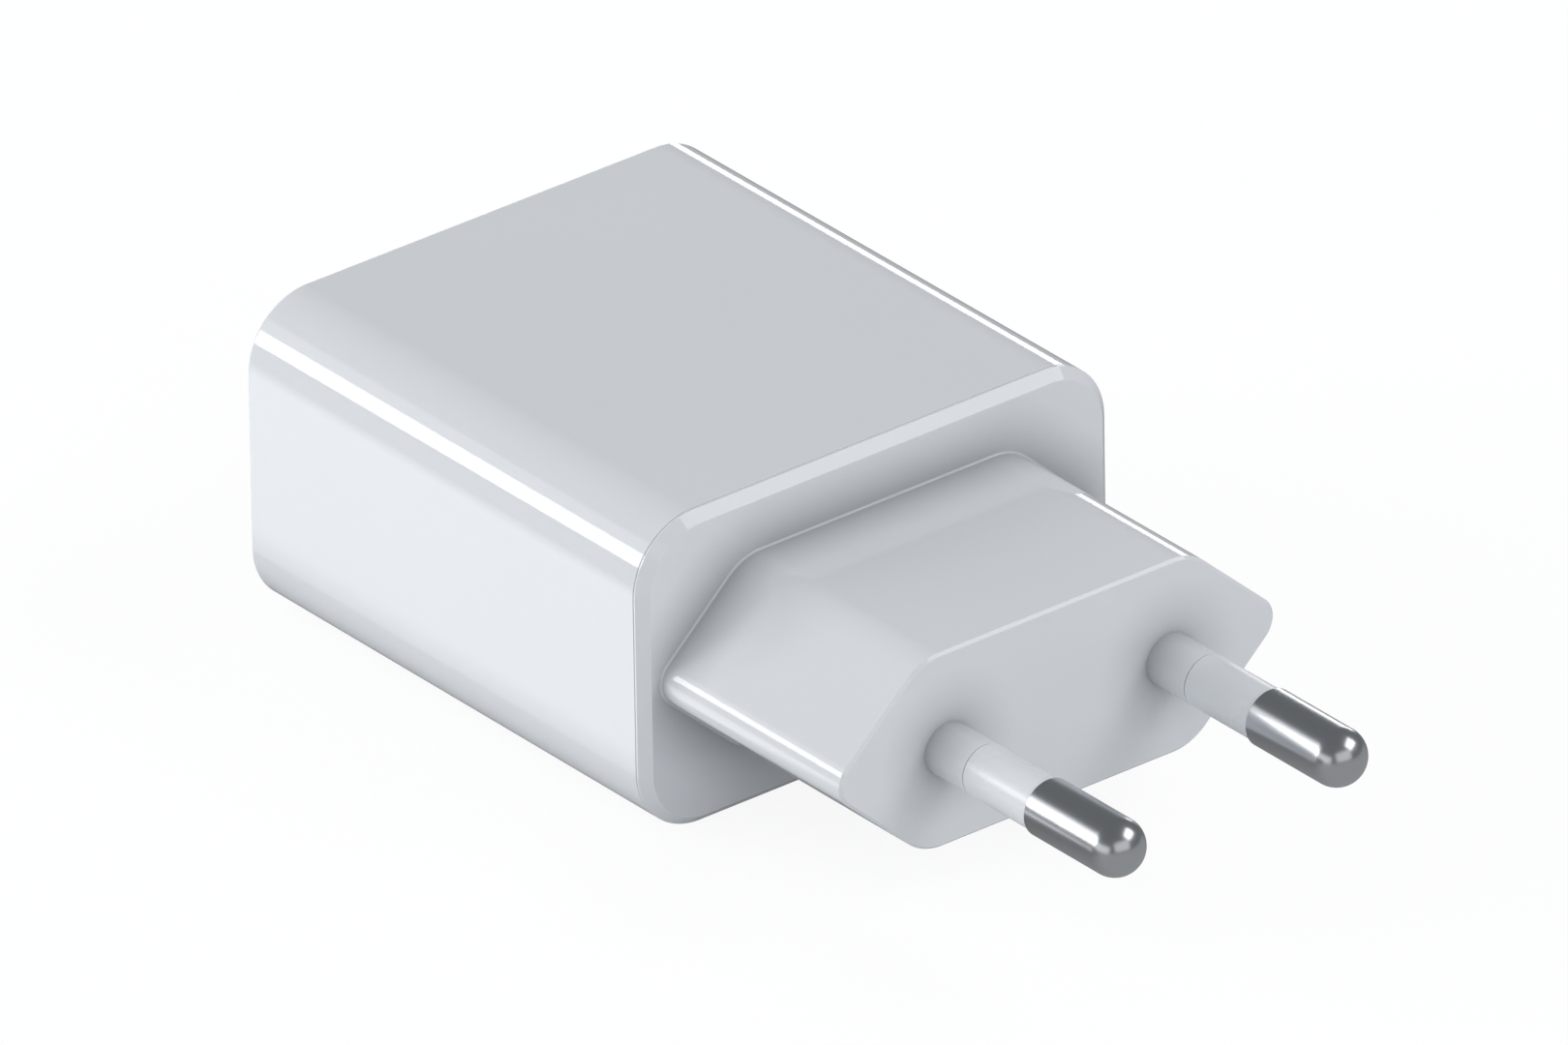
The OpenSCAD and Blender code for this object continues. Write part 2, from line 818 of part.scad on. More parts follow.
// Four-leg coupler that bridges the two sides of the board
module optocoupler() {
    lift = 0.5;
    leg = [0.5, 0.25];
    color("black") {
        translate([coupler_x - coupler_w / 2, core_y - coupler_l / 2, board_z1 + lift])
            cube([coupler_w, coupler_l, coupler_h]);
        for (p = coupler_leads)
            translate([p[0] - leg[0] / 2, p[1] - leg[1] / 2, lead_z0])
                cube([leg[0], leg[1], board_z1 + lift + coupler_h / 2 - lead_z0]);
        for (p = coupler_leads, s = [p[1] > core_y ? -1 : 1])
            translate([p[0] - leg[0] / 2, min(p[1], p[1] + s), board_z1 + lift + coupler_h / 2])
                cube([leg[0], 1, leg[1]]);
    }
}

// Disc safety capacitor standing on its two leads
module y_capacitor() {
    z = board_z1 + y_can_lift + y_can_d / 2;
    round_edge = 0.8;
    r = y_can_d / 2;
    color("dodgerblue") {
        translate([y_can_x - y_can_t / 2, core_y, z])
            rotate([0, 90, 0])
                rotate_extrude()
                    polygon([
                        [0, 0], [r - round_edge, 0], [r, round_edge],
                        [r, y_can_t - round_edge], [r - round_edge, y_can_t], [0, y_can_t]
                    ]);
        for (turn = [0, 180])
            translate([y_can_x, core_y, board_z1 + y_can_lift + lead_bend_r + lead_r])
                rotate([0, 0, turn])
                    bent_lead(y_can_pitch / 2, board_z1 + y_can_lift + lead_bend_r + lead_r - lead_z0);
    }
}

module output_capacitor(side) {
    color("navy") {
        translate([side * output_can_x, output_can_y, board_z1 + output_can_lift])
            can(output_can_d, output_can_l);
        for (k = [-1, 1])
            lead(side * output_can_x + k * can_pitch / 2, output_can_y, board_z1 + 1);
    }
}

module output_capacitor_left() {
    output_capacitor(-1);
}

module output_capacitor_right() {
    output_capacitor(1);
}

module output_diode() {
    color("black")
        under_board(output_diode_at)
            gull_package(4.6, 3.6, 2.1, 1, 1, 2.0);
}

// Chip resistors and capacitors, each with a metal cap at both ends
module chip_components() {
    color("saddlebrown")
        for (p = chip_places)
            under_board([p[0], core_y + p[1]]) {
                translate([-chip_size[0] / 2 + chip_cap / 2, -chip_size[1] / 2, 0.05])
                    cube([chip_size[0] - chip_cap, chip_size[1], chip_size[2] - 0.1]);
                for (side = [-1, 1])
                    translate([side * (chip_size[0] - chip_cap) / 2 - chip_cap / 2, -chip_size[1] / 2, 0])
                        cube([chip_cap, chip_size[1], chip_size[2]]);
            }
}

module insulating_sheet() {
    color("ivory")
        translate([-sheet_w / 2, rail_y0, -in_h / 2 + layer_gap])
            cube([sheet_w, board_y1 - rail_y0, sheet_t]);
}

// ---- USB receptacle ----

// Bent sheet shell, open at the mouth, with four legs through the board
module usb_shell() {
    bend_r = 0.6;
    leg_l = board_t + 1.0;
    color("lightgray") {
        along_y(usb_back_y, usb_mouth_y)
            difference() {
                rounded_rect(usb_w, usb_h, bend_r);
                rounded_rect(usb_in_w, usb_in_h, bend_r - usb_sheet);
            }
        for (side = [0, 1], y = shell_leg_y)
            mirror([side, 0, 0])
                translate([usb_w / 2 - usb_sheet, y - shell_leg_w / 2, -usb_h / 2 - leg_l])
                    cube([usb_sheet, shell_leg_w, leg_l + usb_h / 2]);
    }
}

// Moulded block with the tongue, grooved for the four contacts
module usb_tongue_block() {
    color("white")
        difference() {
            union() {
                along_y(usb_back_y, tongue_y0)
                    rounded_rect(usb_in_w - 2 * slip_gap, usb_in_h - 2 * slip_gap, 0.3);
                translate([-tongue_w / 2, tongue_y0 - 0.5, tongue_z0])
                    cube([tongue_w, tongue_y1 - tongue_y0 + 0.5, tongue_t]);
            }
            for (x = contact_x) {
                translate([x - groove_w / 2, tongue_y0, tongue_z0 - 1])
                    cube([groove_w, groove_end_y - tongue_y0, groove_h + 1]);
                translate([
                    x - contact_w / 2 - tail_hole_gap, usb_back_y - 1, contact_z - tail_hole_gap
                ])
                    cube([
                        contact_w + 2 * tail_hole_gap, block_t + 2, contact_t + 2 * tail_hole_gap
                    ]);
            }
        }
}

// Fixed rear ends of the four contacts, bent down through the board
module usb_contact_tails() {
    root_gap = 0.05;
    leg_w = 0.4;
    color("gold")
        for (x = contact_x) {
            along_x(x - contact_w / 2, x + contact_w / 2)
                polygon([
                    [contact_y0 - root_gap, contact_z], [contact_y0 - root_gap, contact_z + contact_t],
                    [tail_y - contact_t / 2, contact_z + contact_t],
                    [tail_y - contact_t / 2, board_z1 + 0.3], [tail_y + contact_t / 2, board_z1 + 0.3],
                    [tail_y + contact_t / 2, contact_z]
                ]);
            translate([x - leg_w / 2, tail_y - contact_t / 2, lead_z0])
                cube([leg_w, contact_t, board_z1 + 0.5 - lead_z0]);
        }
}

// Springing front end of a contact: it bulges below the tongue and its tip turns up
module usb_contact(i) {
    top = contact_z + contact_t;
    bulge_z = tongue_z0 - contact_bulge;
    bulge_y = contact_y1 - 1.6;
    lower = [
        [contact_y0, contact_z], [bulge_y - 0.9, bulge_z + 0.15], [bulge_y - 0.3, bulge_z],
        [bulge_y + 0.3, bulge_z], [bulge_y + 0.8, bulge_z + 0.2], [contact_y1, contact_z - 0.05]
    ];
    upper = [
        [contact_y1, contact_z + contact_t - 0.05], [bulge_y + 0.7, bulge_z + contact_t + 0.2],
        [bulge_y + 0.25, bulge_z + contact_t], [bulge_y - 0.25, bulge_z + contact_t],
        [bulge_y - 0.9, bulge_z + contact_t + 0.15], [contact_y0, top]
    ];
    color("gold")
        along_x(contact_x[i] - contact_w / 2, contact_x[i] + contact_w / 2)
            polygon(concat(lower, upper));
}

module usb_contact_1() {
    usb_contact(0);
}

module usb_contact_2() {
    usb_contact(1);
}

module usb_contact_3() {
    usb_contact(2);
}

module usb_contact_4() {
    usb_contact(3);
}

housing_shell();
plug_cap();
pin_left();
pin_right();
sleeve_left();
sleeve_right();
pin_carrier();
pin_strip_left();
pin_strip_right();
circuit_board();
input_capacitor_left();
input_capacitor_right();
fusible_resistor();
choke_core();
choke_winding();
bridge_rectifier();
controller_chip();
transformer_core_front();
transformer_core_rear();
transformer_bobbin();
primary_winding();
secondary_winding();
winding_tape();
transformer_pins();
optocoupler();
y_capacitor();
output_diode();
output_capacitor_left();
output_capacitor_right();
chip_components();
solder_joints();
insulating_sheet();
usb_shell();
usb_tongue_block();
usb_contact_tails();
usb_contact_1();
usb_contact_2();
usb_contact_3();
usb_contact_4();
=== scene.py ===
from math import cos, pi, radians, sin, tan

import bmesh
import bpy
import numpy as np
from mathutils import Matrix, Vector


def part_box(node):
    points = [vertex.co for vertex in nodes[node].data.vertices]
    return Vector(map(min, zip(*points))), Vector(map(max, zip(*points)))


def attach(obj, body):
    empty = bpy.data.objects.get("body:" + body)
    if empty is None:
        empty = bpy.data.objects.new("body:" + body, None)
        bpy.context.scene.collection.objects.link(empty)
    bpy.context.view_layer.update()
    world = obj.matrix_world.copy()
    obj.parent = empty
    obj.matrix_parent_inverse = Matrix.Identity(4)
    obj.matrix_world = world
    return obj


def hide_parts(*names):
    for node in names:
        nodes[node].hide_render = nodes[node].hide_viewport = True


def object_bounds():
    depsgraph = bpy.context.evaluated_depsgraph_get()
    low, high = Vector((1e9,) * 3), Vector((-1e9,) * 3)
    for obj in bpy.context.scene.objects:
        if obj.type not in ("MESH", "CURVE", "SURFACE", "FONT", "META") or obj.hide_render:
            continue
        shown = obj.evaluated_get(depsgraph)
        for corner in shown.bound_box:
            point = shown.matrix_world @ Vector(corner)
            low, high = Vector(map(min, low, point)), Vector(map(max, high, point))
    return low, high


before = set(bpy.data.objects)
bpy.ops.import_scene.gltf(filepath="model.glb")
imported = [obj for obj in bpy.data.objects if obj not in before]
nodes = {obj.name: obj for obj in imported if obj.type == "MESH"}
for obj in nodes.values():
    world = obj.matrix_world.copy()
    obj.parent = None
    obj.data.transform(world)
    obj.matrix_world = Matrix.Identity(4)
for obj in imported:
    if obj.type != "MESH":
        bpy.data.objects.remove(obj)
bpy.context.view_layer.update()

# ---------------------------------------------------------------------------------------------
# Plug cap: the front half of the case, with the hexagonal plug nose, the front plate, its
# chamfered rim and the collars at the foot of the pins. One injection moulding in glossy white
# polycarbonate; its spigot slides into the body and is welded there.
MM = 0.001
body_half = np.array([19.1, 11.2])
body_corner = 4.9
nose_length = 18.0
nose_half_width = 18.509
nose_half_height = 6.95
nose_slope = 42.6
nose_edge_round = 3.9
nose_side_round = 1.8
face_edge_bevel = 0.2
rim_bevel = 0.7
rim_back = 18.85
nose_wall = 1.6
face_inside = 2.0
plate_inside = 20.0
spigot_end = 21.5
spigot_outside, spigot_inside = 1.65, 2.85
collar_tip, collar_foot = -3.7, 0.6
collar_radius = 1.84
pin_core = 1.42
pin_places = (-9.0, 9.0)


def ring_of_sides(tilts, reaches, rounds):
    """A closed outline: straight sides that face the angles tilts at the distances reaches from
    the centre, each corner after a side rounded by rounds. Angles in degrees, lengths in mm."""
    return np.radians(tilts), np.array(reaches, float), np.array(rounds, float)


def oblong(half, corner):
    """The outline of a rectangle with rounded corners."""
    return ring_of_sides([0, 90, 180, 270], [half[0], half[1]] * 2, [corner] * 4)


def corner_turns(outline, steps):
    """The directions, seen from the centre, of evenly spread points on each rounded corner."""
    tilts, reaches, rounds = outline
    found = []
    for i, j in zip(range(len(tilts)), np.roll(range(len(tilts)), -1)):
        faces = np.array([[cos(t), sin(t)] for t in (tilts[i], tilts[j])])
        centre = np.linalg.solve(faces, reaches[[i, j]] - rounds[i])
        sweep = (tilts[j] - tilts[i]) % (2 * pi)
        t = tilts[i] + np.linspace(0, sweep, steps)
        x, z = centre[0] + rounds[i] * np.cos(t), centre[1] + rounds[i] * np.sin(t)
        found.append(np.arctan2(z, x))
    return np.concatenate(found)


def sorted_turns(*sets, apart=None):
    """The given directions in one rising list over a full turn, with one more at every apart
    degrees where that is given."""
    if apart:
        sets = (*sets, np.radians(np.arange(-180, 180, apart)))
    return np.unique(np.round(np.concatenate(sets) % (2 * pi), 5))


def trace(outline, turns, swell):
    """Where rays from the centre at the angles turns cross the outline, pushed out by each
    distance in swell: a ray meets the nearest side line at reach / cos(angle between them), or
    the circle of a corner where that lies between the two tangent points. Gives the points and
    their outward directions, both (swells, rays, 2)."""
    tilts, reaches, rounds = outline
    ray = np.stack([np.cos(turns), np.sin(turns)], 1)
    faces = np.stack([np.cos(tilts), np.sin(tilts)], 1)
    reach = reaches + swell[:, None]
    least_round, grazing = 0.05, 1e-6
    bend = np.maximum(rounds + swell[:, None], least_round)
    along = ray @ faces.T
    far = np.where(along > grazing, reach[:, None, :] / np.maximum(along, grazing), np.inf)
    points = far.min(2)[..., None] * ray
    out = faces[far.argmin(2)]
    for i in range(len(tilts)):
        j = (i + 1) % len(tilts)
        back = np.linalg.inv(faces[[i, j]])
        centre = (reach[:, [i, j]] - bend[:, [i]]) @ back.T
        near = centre @ ray.T
        room = near**2 - (centre**2).sum(1)[:, None] + bend[:, [i]] ** 2
        hit = (near + np.sqrt(np.maximum(room, 0)))[..., None] * ray
        facing = (hit - centre[:, None]) / bend[:, [i]][..., None]
        left_i = np.array([-faces[i, 1], faces[i, 0]])
        left_j = np.array([-faces[j, 1], faces[j, 0]])
        on_bend = (room > 0) & (facing @ left_i >= 0) & (facing @ left_j <= 0)
        on_bend &= facing @ (faces[i] + faces[j]) > 0
        points = np.where(on_bend[..., None], hit, points)
        out = np.where(on_bend[..., None], facing, out)
    return points, out


def soften(path, rounds, steps=5, closed=False):
    """A path in the plane of (outwards, along the body) with each corner replaced by an arc of
    its own radius, which meets both legs at radius * tan(half the turn) from the corner. Gives
    the points and the directions to the right of travel, which are the outward ones."""
    straight = 1e-6
    path = np.array(path, float)
    rounds = np.broadcast_to(np.array(rounds, float), len(path))
    points, facing = [], []
    for k, corner in enumerate(path):
        if not closed and k in (0, len(path) - 1):
            leg = path[1] - path[0] if k == 0 else path[-1] - path[-2]
            leg = leg / np.linalg.norm(leg)
            points.append(corner[None])
            facing.append(np.array([[leg[1], -leg[0]]]))
            continue
        come = corner - path[k - 1]
        go = path[(k + 1) % len(path)] - corner
        come, go = come / np.linalg.norm(come), go / np.linalg.norm(go)
        turn = np.arctan2(come[0] * go[1] - come[1] * go[0], come @ go)
        if abs(turn) < straight:
            continue
        side = 1.0 if turn > 0 else -1.0
        start = corner - come * rounds[k] * tan(abs(turn) / 2)
        hub = start + side * rounds[k] * np.array([-come[1], come[0]])
        t = np.linspace(0, turn, steps)
        right = np.stack([come[1] * np.cos(t) + come[0] * np.sin(t),
                          come[1] * np.sin(t) - come[0] * np.cos(t)], 1)
        points.append(hub + side * rounds[k] * right)
        facing.append(right)
    return np.concatenate(points), np.concatenate(facing)


def carried(outline, turns, path, facing):
    """The path carried round the outline: the point (s, y) of the path stands s outside the
    outline at the station y. Gives places and normals, both (path, turns, 3), in mm."""
    flat, out = trace(outline, turns, path[:, 0])
    y = np.broadcast_to(path[:, 1][:, None], flat.shape[:2])
    places = np.stack([flat[..., 0], y, flat[..., 1]], 2)
    lean = np.broadcast_to(facing[:, 1][:, None], flat.shape[:2])
    normals = np.stack([out[..., 0] * facing[:, :1], lean, out[..., 1] * facing[:, :1]], 2)
    return places, normals


def turned(x, z, path, facing, around=96):
    """The path (radius, y) turned about a line along the body at x, z."""
    t = np.linspace(0, 2 * pi, around, endpoint=False)
    ray = np.stack([np.cos(t), np.zeros(around), np.sin(t)], 1)
    axis = np.array([0.0, 1.0, 0.0])
    radius, station = path[:, 0][:, None, None], path[:, 1][:, None, None]
    places = radius * ray + station * axis + np.array([x, 0, z])
    return places, facing[:, 0][:, None, None] * ray + facing[:, 1][:, None, None] * axis


def joined(parts, ends):
    """Carried surfaces with the same turns put end to end, in the form that skin takes."""
    return (*(np.concatenate(rings) for rings in zip(*parts)), ends)


def skin(name, surfaces):
    """One mesh from one or more surfaces. Each is (places, normals, ends): grids of points in mm
    and their normals, with ends "loop" where the last ring joins the first, or "poles" where
    both end rings close on their middle point. Quads join each ring to the next, and each
    surface is turned by itself so that its faces look the way its normals do."""
    all_points, all_normals, quads, fans = [], [], [], [np.zeros((0, 3), int)]
    first = 0
    for places, normals, ends in surfaces:
        rings, around = places.shape[:2]
        index = np.arange(rings * around).reshape(rings, around)
        beside = np.roll(index, -1, 1)
        ahead = slice(None) if ends == "loop" else slice(0, -1)
        squares = np.stack([index, beside, np.roll(beside, -1, 0), np.roll(index, -1, 0)], -1)
        squares = squares[ahead].reshape(-1, 4)
        flat, facing = places.reshape(-1, 3), normals.reshape(-1, 3)
        turn = np.cross(flat[squares[:, 2]] - flat[squares[:, 0]],
                        flat[squares[:, 3]] - flat[squares[:, 1]])
        way = 1 if (turn * facing[squares].mean(1)).sum() > 0 else -1
        quads.append(first + squares[:, ::way])
        all_points.append(flat)
        all_normals.append(facing)
        if ends == "poles":
            for ring, step in ((0, -way), (-1, way)):
                tip = np.full(around, rings * around + (ring == -1))
                fans.append(first + np.stack([index[ring], beside[ring], tip], -1)[:, ::step])
                all_points.append(places[ring].mean(0, keepdims=True))
                all_normals.append(normals[ring].mean(0, keepdims=True))
            first += 2
        first += rings * around
    points = np.concatenate(all_points)
    normals = np.concatenate(all_normals)
    normals = normals / np.linalg.norm(normals, axis=1, keepdims=True)
    quads, fans = np.concatenate(quads), np.concatenate(fans)
    mesh = bpy.data.meshes.new(name)
    mesh.vertices.add(len(points))
    mesh.vertices.foreach_set("co", (points * MM).astype(np.float32).ravel())
    corners = np.concatenate([quads.ravel(), fans.ravel()]).astype(np.int32)
    mesh.loops.add(len(corners))
    mesh.loops.foreach_set("vertex_index", corners)
    sizes = np.concatenate([np.full(len(quads), 4), np.full(len(fans), 3)])
    mesh.polygons.add(len(sizes))
    starts = np.concatenate([[0], np.cumsum(sizes)[:-1]])
    mesh.polygons.foreach_set("loop_start", starts.astype(np.int32))
    mesh.polygons.foreach_set("use_smooth", np.ones(len(sizes), bool))
    mesh.update(calc_edges=True)
    mesh.validate()
    mesh.normals_split_custom_set_from_vertices(normals.tolist())
    piece = bpy.data.objects.new(name, mesh)
    bpy.context.scene.collection.objects.link(piece)
    return piece


def put(tree, kind, settings=None, **inputs):
    """Adds one shader node. settings are its own properties. inputs are its sockets, by name
    with _ for a space or by place as n0, n1 and so on: a value or another node's output."""
    made = tree.nodes.new(kind)
    for key, value in (settings or {}).items():
        setattr(made, key, value)
    for key, value in inputs.items():
        by_place = key[0] == "n" and key[1:].isdigit()
        socket = made.inputs[int(key[1:]) if by_place else key.replace("_", " ")]
        if isinstance(value, bpy.types.NodeSocket):
            tree.links.new(value, socket)
        else:
            socket.default_value = value
    return made


def moulded_skin_group():
    """What a moulded or rolled surface shows close up: slow drifts of tone across the part, a
    fine grain, and a smear of touched, duller places. Puts out colour, roughness and height."""
    group = bpy.data.node_groups.new("moulded_skin", "ShaderNodeTree")
    face = group.interface
    for label, kind, start in (
        ("Place", "NodeSocketVector", None),
        ("Tone", "NodeSocketColor", (0.8, 0.8, 0.8, 1)),
        ("Second Tone", "NodeSocketColor", (0.7, 0.7, 0.7, 1)),
        ("Drift Scale", "NodeSocketFloat", 60.0),
        ("Grain Scale", "NodeSocketFloat", 2500.0),
        ("Grain Share", "NodeSocketFloat", 0.3),
        ("Roughness", "NodeSocketFloat", 0.4),
        ("Roughness Swing", "NodeSocketFloat", 0.05),
    ):
        socket = face.new_socket(label, in_out="INPUT", socket_type=kind)
        if start is not None:
            socket.default_value = start
    for label, kind in (("Colour", "NodeSocketColor"), ("Roughness", "NodeSocketFloat"),
                        ("Height", "NodeSocketFloat")):
        face.new_socket(label, in_out="OUTPUT", socket_type=kind)
    given = group.nodes.new("NodeGroupInput").outputs
    drift = put(group, "ShaderNodeTexNoise", Vector=given["Place"], Scale=given["Drift Scale"],
                Detail=3.0, Roughness=0.55)
    grain = put(group, "ShaderNodeTexNoise", Vector=given["Place"], Scale=given["Grain Scale"],
                Detail=2.0, Roughness=0.6)
    both = put(group, "ShaderNodeMix", {"data_type": "FLOAT"}, n0=given["Grain Share"],
               n2=drift.outputs["Fac"], n3=grain.outputs["Fac"])
    tone = put(group, "ShaderNodeMix", {"data_type": "RGBA"}, n0=both.outputs[0],
               n6=given["Tone"], n7=given["Second Tone"])
    touched = put(group, "ShaderNodeTexNoise", Vector=given["Place"], Scale=given["Drift Scale"],
                  Detail=4.0, Distortion=0.8)
    swing = put(group, "ShaderNodeMath", {"operation": "MULTIPLY_ADD"}, n0=touched.outputs["Fac"],
                n1=given["Roughness Swing"], n2=given["Roughness"])
    end = group.nodes.new("NodeGroupOutput")
    group.links.new(tone.outputs[2], end.inputs["Colour"])
    group.links.new(swing.outputs[0], end.inputs["Roughness"])
    group.links.new(both.outputs[0], end.inputs["Height"])
    return group


moulded_skin = moulded_skin_group()


def finish(name, tone, second_tone, roughness, swing=0.05, drift=60.0, grain=2500.0, share=0.3,
           stretch=(1, 1, 1), bump=0.1, depth=0.00001, metallic=0.0, corner_reach=0.0, **shader):
    """A material that starts from moulded_skin: its colour, roughness and height feed one
    Principled shader. Inside corners darken over corner_reach mm, judged from the piece alone:
    painted shade from an ambient occlusion node. Gives the material and the nodes that later
    steps hook on to. drift and grain are noise scales per metre, depth is in metres."""
    painted_shade_share = 0.8
    material = bpy.data.materials.new(name)
    material.use_nodes = True
    tree = material.node_tree
    tree.nodes.clear()
    where = put(tree, "ShaderNodeTexCoord")
    mapping = put(tree, "ShaderNodeMapping", Vector=where.outputs["Object"], Scale=stretch)
    texture = put(tree, "ShaderNodeGroup", {"node_tree": moulded_skin}, Place=mapping.outputs[0],
                  Tone=(*tone, 1), Second_Tone=(*second_tone, 1), Drift_Scale=drift,
                  Grain_Scale=grain, Grain_Share=share, Roughness=roughness, Roughness_Swing=swing)
    relief = put(tree, "ShaderNodeBump", Strength=bump, Distance=depth, Height=texture.outputs["Height"])
    colour = texture.outputs["Colour"]
    # Painted shade: an ambient occlusion node darkens the colour in inside corners.
    if corner_reach:
        shut_in = put(tree, "ShaderNodeAmbientOcclusion", {"samples": 8, "only_local": True},
                      Color=colour, Distance=corner_reach * MM)
        painted_corner_shade = put(tree, "ShaderNodeMix", {"data_type": "RGBA"}, n0=painted_shade_share, n6=colour,
                     n7=shut_in.outputs["Color"])
        colour = painted_corner_shade.outputs[2]
    main = put(tree, "ShaderNodeBsdfPrincipled", Base_Color=colour, Metallic=metallic,
               Roughness=texture.outputs["Roughness"], Normal=relief.outputs[0], **shader)
    put(tree, "ShaderNodeOutputMaterial", Surface=main.outputs[0])
    return material, {"tree": tree, "place": where.outputs["Object"], "skin": texture,
                      "bump": relief, "main": main}


# The case's colour carries painted shade in its inside corners, over 4 mm.
gloss_white, _ = finish("gloss_white_case", (0.815, 0.835, 0.86), (0.78, 0.802, 0.832), 0.035,
                        swing=0.03, drift=38.0, grain=900.0, share=0.12, bump=0.03,
                        depth=0.000006, corner_reach=4.0, IOR=1.5)

slope_reach = nose_half_width * sin(radians(nose_slope))
hexagon = ring_of_sides(
    [90 - nose_slope, 90, 90 + nose_slope, 270 - nose_slope, 270, 270 + nose_slope],
    [slope_reach, nose_half_height, slope_reach] * 2,
    [nose_edge_round, nose_edge_round, nose_side_round] * 2,
)
body_outline = oblong(body_half, body_corner)
cap_turns = sorted_turns(corner_turns(hexagon, 17), corner_turns(body_outline, 17), apart=4.0)

# Each path gives its points as (distance outside the outline, station) and, in the same order,
# the radius of the round on each. Its first and last points lie on the flats beside it.
nose_path = soften(
    [(-5.5, 0), (-face_edge_bevel, 0), (0, face_edge_bevel), (0, nose_length), (0.35, nose_length)],
    [0, 0.04, 0.04, 0.16, 0],
)
rim_path = soften(
    [(-rim_bevel - 0.12, nose_length), (-rim_bevel, nose_length), (0, nose_length + rim_bevel),
     (0, rim_back), (-spigot_outside, rim_back), (-spigot_outside, spigot_end),
     (-spigot_inside, spigot_end), (-spigot_inside, plate_inside), (-3.0, plate_inside)],
    [0, 0.05, 0.05, 0.03, 0.05, 0.1, 0.1, 0.05, 0],
)
hollow_path = soften(
    [(-1.5, plate_inside), (-nose_wall, plate_inside), (-nose_wall, face_inside), (-5.0, face_inside)],
    [0, 0.03, 0.3, 0],
)
cap_parts = [carried(hexagon, cap_turns, *nose_path), carried(body_outline, cap_turns, *rim_path),
             carried(hexagon, cap_turns, *hollow_path)]
collar_path = soften(
    [(pin_core, collar_tip), (collar_radius, collar_tip), (collar_radius, collar_foot),
     (pin_core, collar_foot)],
    [0.03, 0.05, 0.05, 0.03], closed=True,
)
collars = [(*turned(x, 0, *collar_path), "loop") for x in pin_places]
plug_cap = skin("plug_cap_moulding", [joined(cap_parts, "poles"), *collars])
plug_cap.data.materials.append(gloss_white)
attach(plug_cap, "charger")
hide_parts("plug_cap")

# ---------------------------------------------------------------------------------------------
# Body shell: the sleeve that closes over the electronics, with the USB port in its end wall.
# The same glossy white polycarbonate as the plug cap, moulded in one piece with straight walls
# and a crisp edge round the end wall, and welded to the cap along a hairline seam.
shell_front = 18.91
shell_end = 58.4
end_wall_inside = 56.6
end_edge_bevel = 0.4
wall = 1.6
port_hole_half = (6.75, 3.06)
port_corner = 0.6
inner_outline = oblong(body_half - wall, body_corner - wall)
port_outline = oblong(port_hole_half, port_corner)
shell_turns = sorted_turns(corner_turns(body_outline, 21), corner_turns(port_outline, 9), apart=4.0)
outside_path = soften(
    [(-0.8, shell_front), (0, shell_front), (0, shell_end - end_edge_bevel),
     (-end_edge_bevel, shell_end), (-1.2, shell_end)],
    [0, 0.03, 0.12, 0.12, 0],
)
port_path = soften(
    [(0.4, shell_end), (0, shell_end), (0, end_wall_inside), (0.4, end_wall_inside)],
    [0, 0.12, 0.05, 0],
)
inside_path = soften(
    [(-0.6, end_wall_inside), (0, end_wall_inside), (0, shell_front), (0.6, shell_front)],
    [0, 0.4, 0.05, 0],
)
shell_parts = [carried(body_outline, shell_turns, *outside_path),
               carried(port_outline, shell_turns, *port_path),
               carried(inner_outline, shell_turns, *inside_path)]
body_shell = skin("body_shell", [joined(shell_parts, "loop")])
body_shell.data.materials.append(gloss_white)
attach(body_shell, "charger")
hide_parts("housing_shell")

# ---------------------------------------------------------------------------------------------
# Contact pins: turned brass, bright nickel plated, with a domed tip and a thinner core that
# runs through the sleeve and collar to a flange behind the plug face.
pin_radius = 2.0
pin_tip = -18.6
bare_start = -10.0
core_radius = 1.4
flange_radius, flange_back = 2.6, 3.2
tail_radius = 1.0
axis_hole = 0.02
tail_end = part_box("pin_left")[1].y / MM
nickel, _ = finish("nickel_plate", (0.60, 0.615, 0.64), (0.56, 0.575, 0.60), 0.23, swing=0.04,
                   drift=200.0, grain=3000.0, share=0.3, stretch=(1, 3, 1), bump=0.02,
                   depth=0.000002, metallic=1.0)
pin_path = soften(
    [(axis_hole, pin_tip), (pin_radius, pin_tip), (pin_radius, bare_start), (core_radius, bare_start),
     (core_radius, face_inside), (flange_radius, face_inside), (flange_radius, flange_back),
     (tail_radius, flange_back), (tail_radius, tail_end), (axis_hole, tail_end)],
    [0, 1.94, 0.08, 0.05, 0.05, 0.1, 0.1, 0.05, 0.1, 0], steps=14,
)
for x, side in zip(pin_places, ("left", "right")):
    pin = skin("contact_pin_" + side, [(*turned(x, 0, *pin_path), "poles")])
    pin.data.materials.append(nickel)
    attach(pin, "charger")
    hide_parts("pin_" + side)

# ---------------------------------------------------------------------------------------------
# Insulating sleeves: a white nylon tube pushed over each pin's core, so that no live metal
# shows while the plug is half out. Satin beside the glossy case.
sleeve_front, sleeve_back = -9.98, -3.78
sleeve_white, _ = finish("white_sleeve", (0.84, 0.86, 0.885), (0.80, 0.825, 0.855), 0.24,
                         swing=0.08, drift=150.0, grain=3500.0, share=0.3, stretch=(1, 0.4, 1),
                         bump=0.05, depth=0.000006, IOR=1.5)
sleeve_path = soften(
    [(pin_core, sleeve_front), (collar_radius, sleeve_front), (collar_radius, sleeve_back),
     (pin_core, sleeve_back)],
    [0.03, 0.06, 0.05, 0.03], closed=True,
)
for x, side in zip(pin_places, ("left", "right")):
    sleeve = skin("pin_sleeve_" + side, [(*turned(x, 0, *sleeve_path), "loop")])
    sleeve.data.materials.append(sleeve_white)
    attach(sleeve, "charger")
    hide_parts("sleeve_" + side)

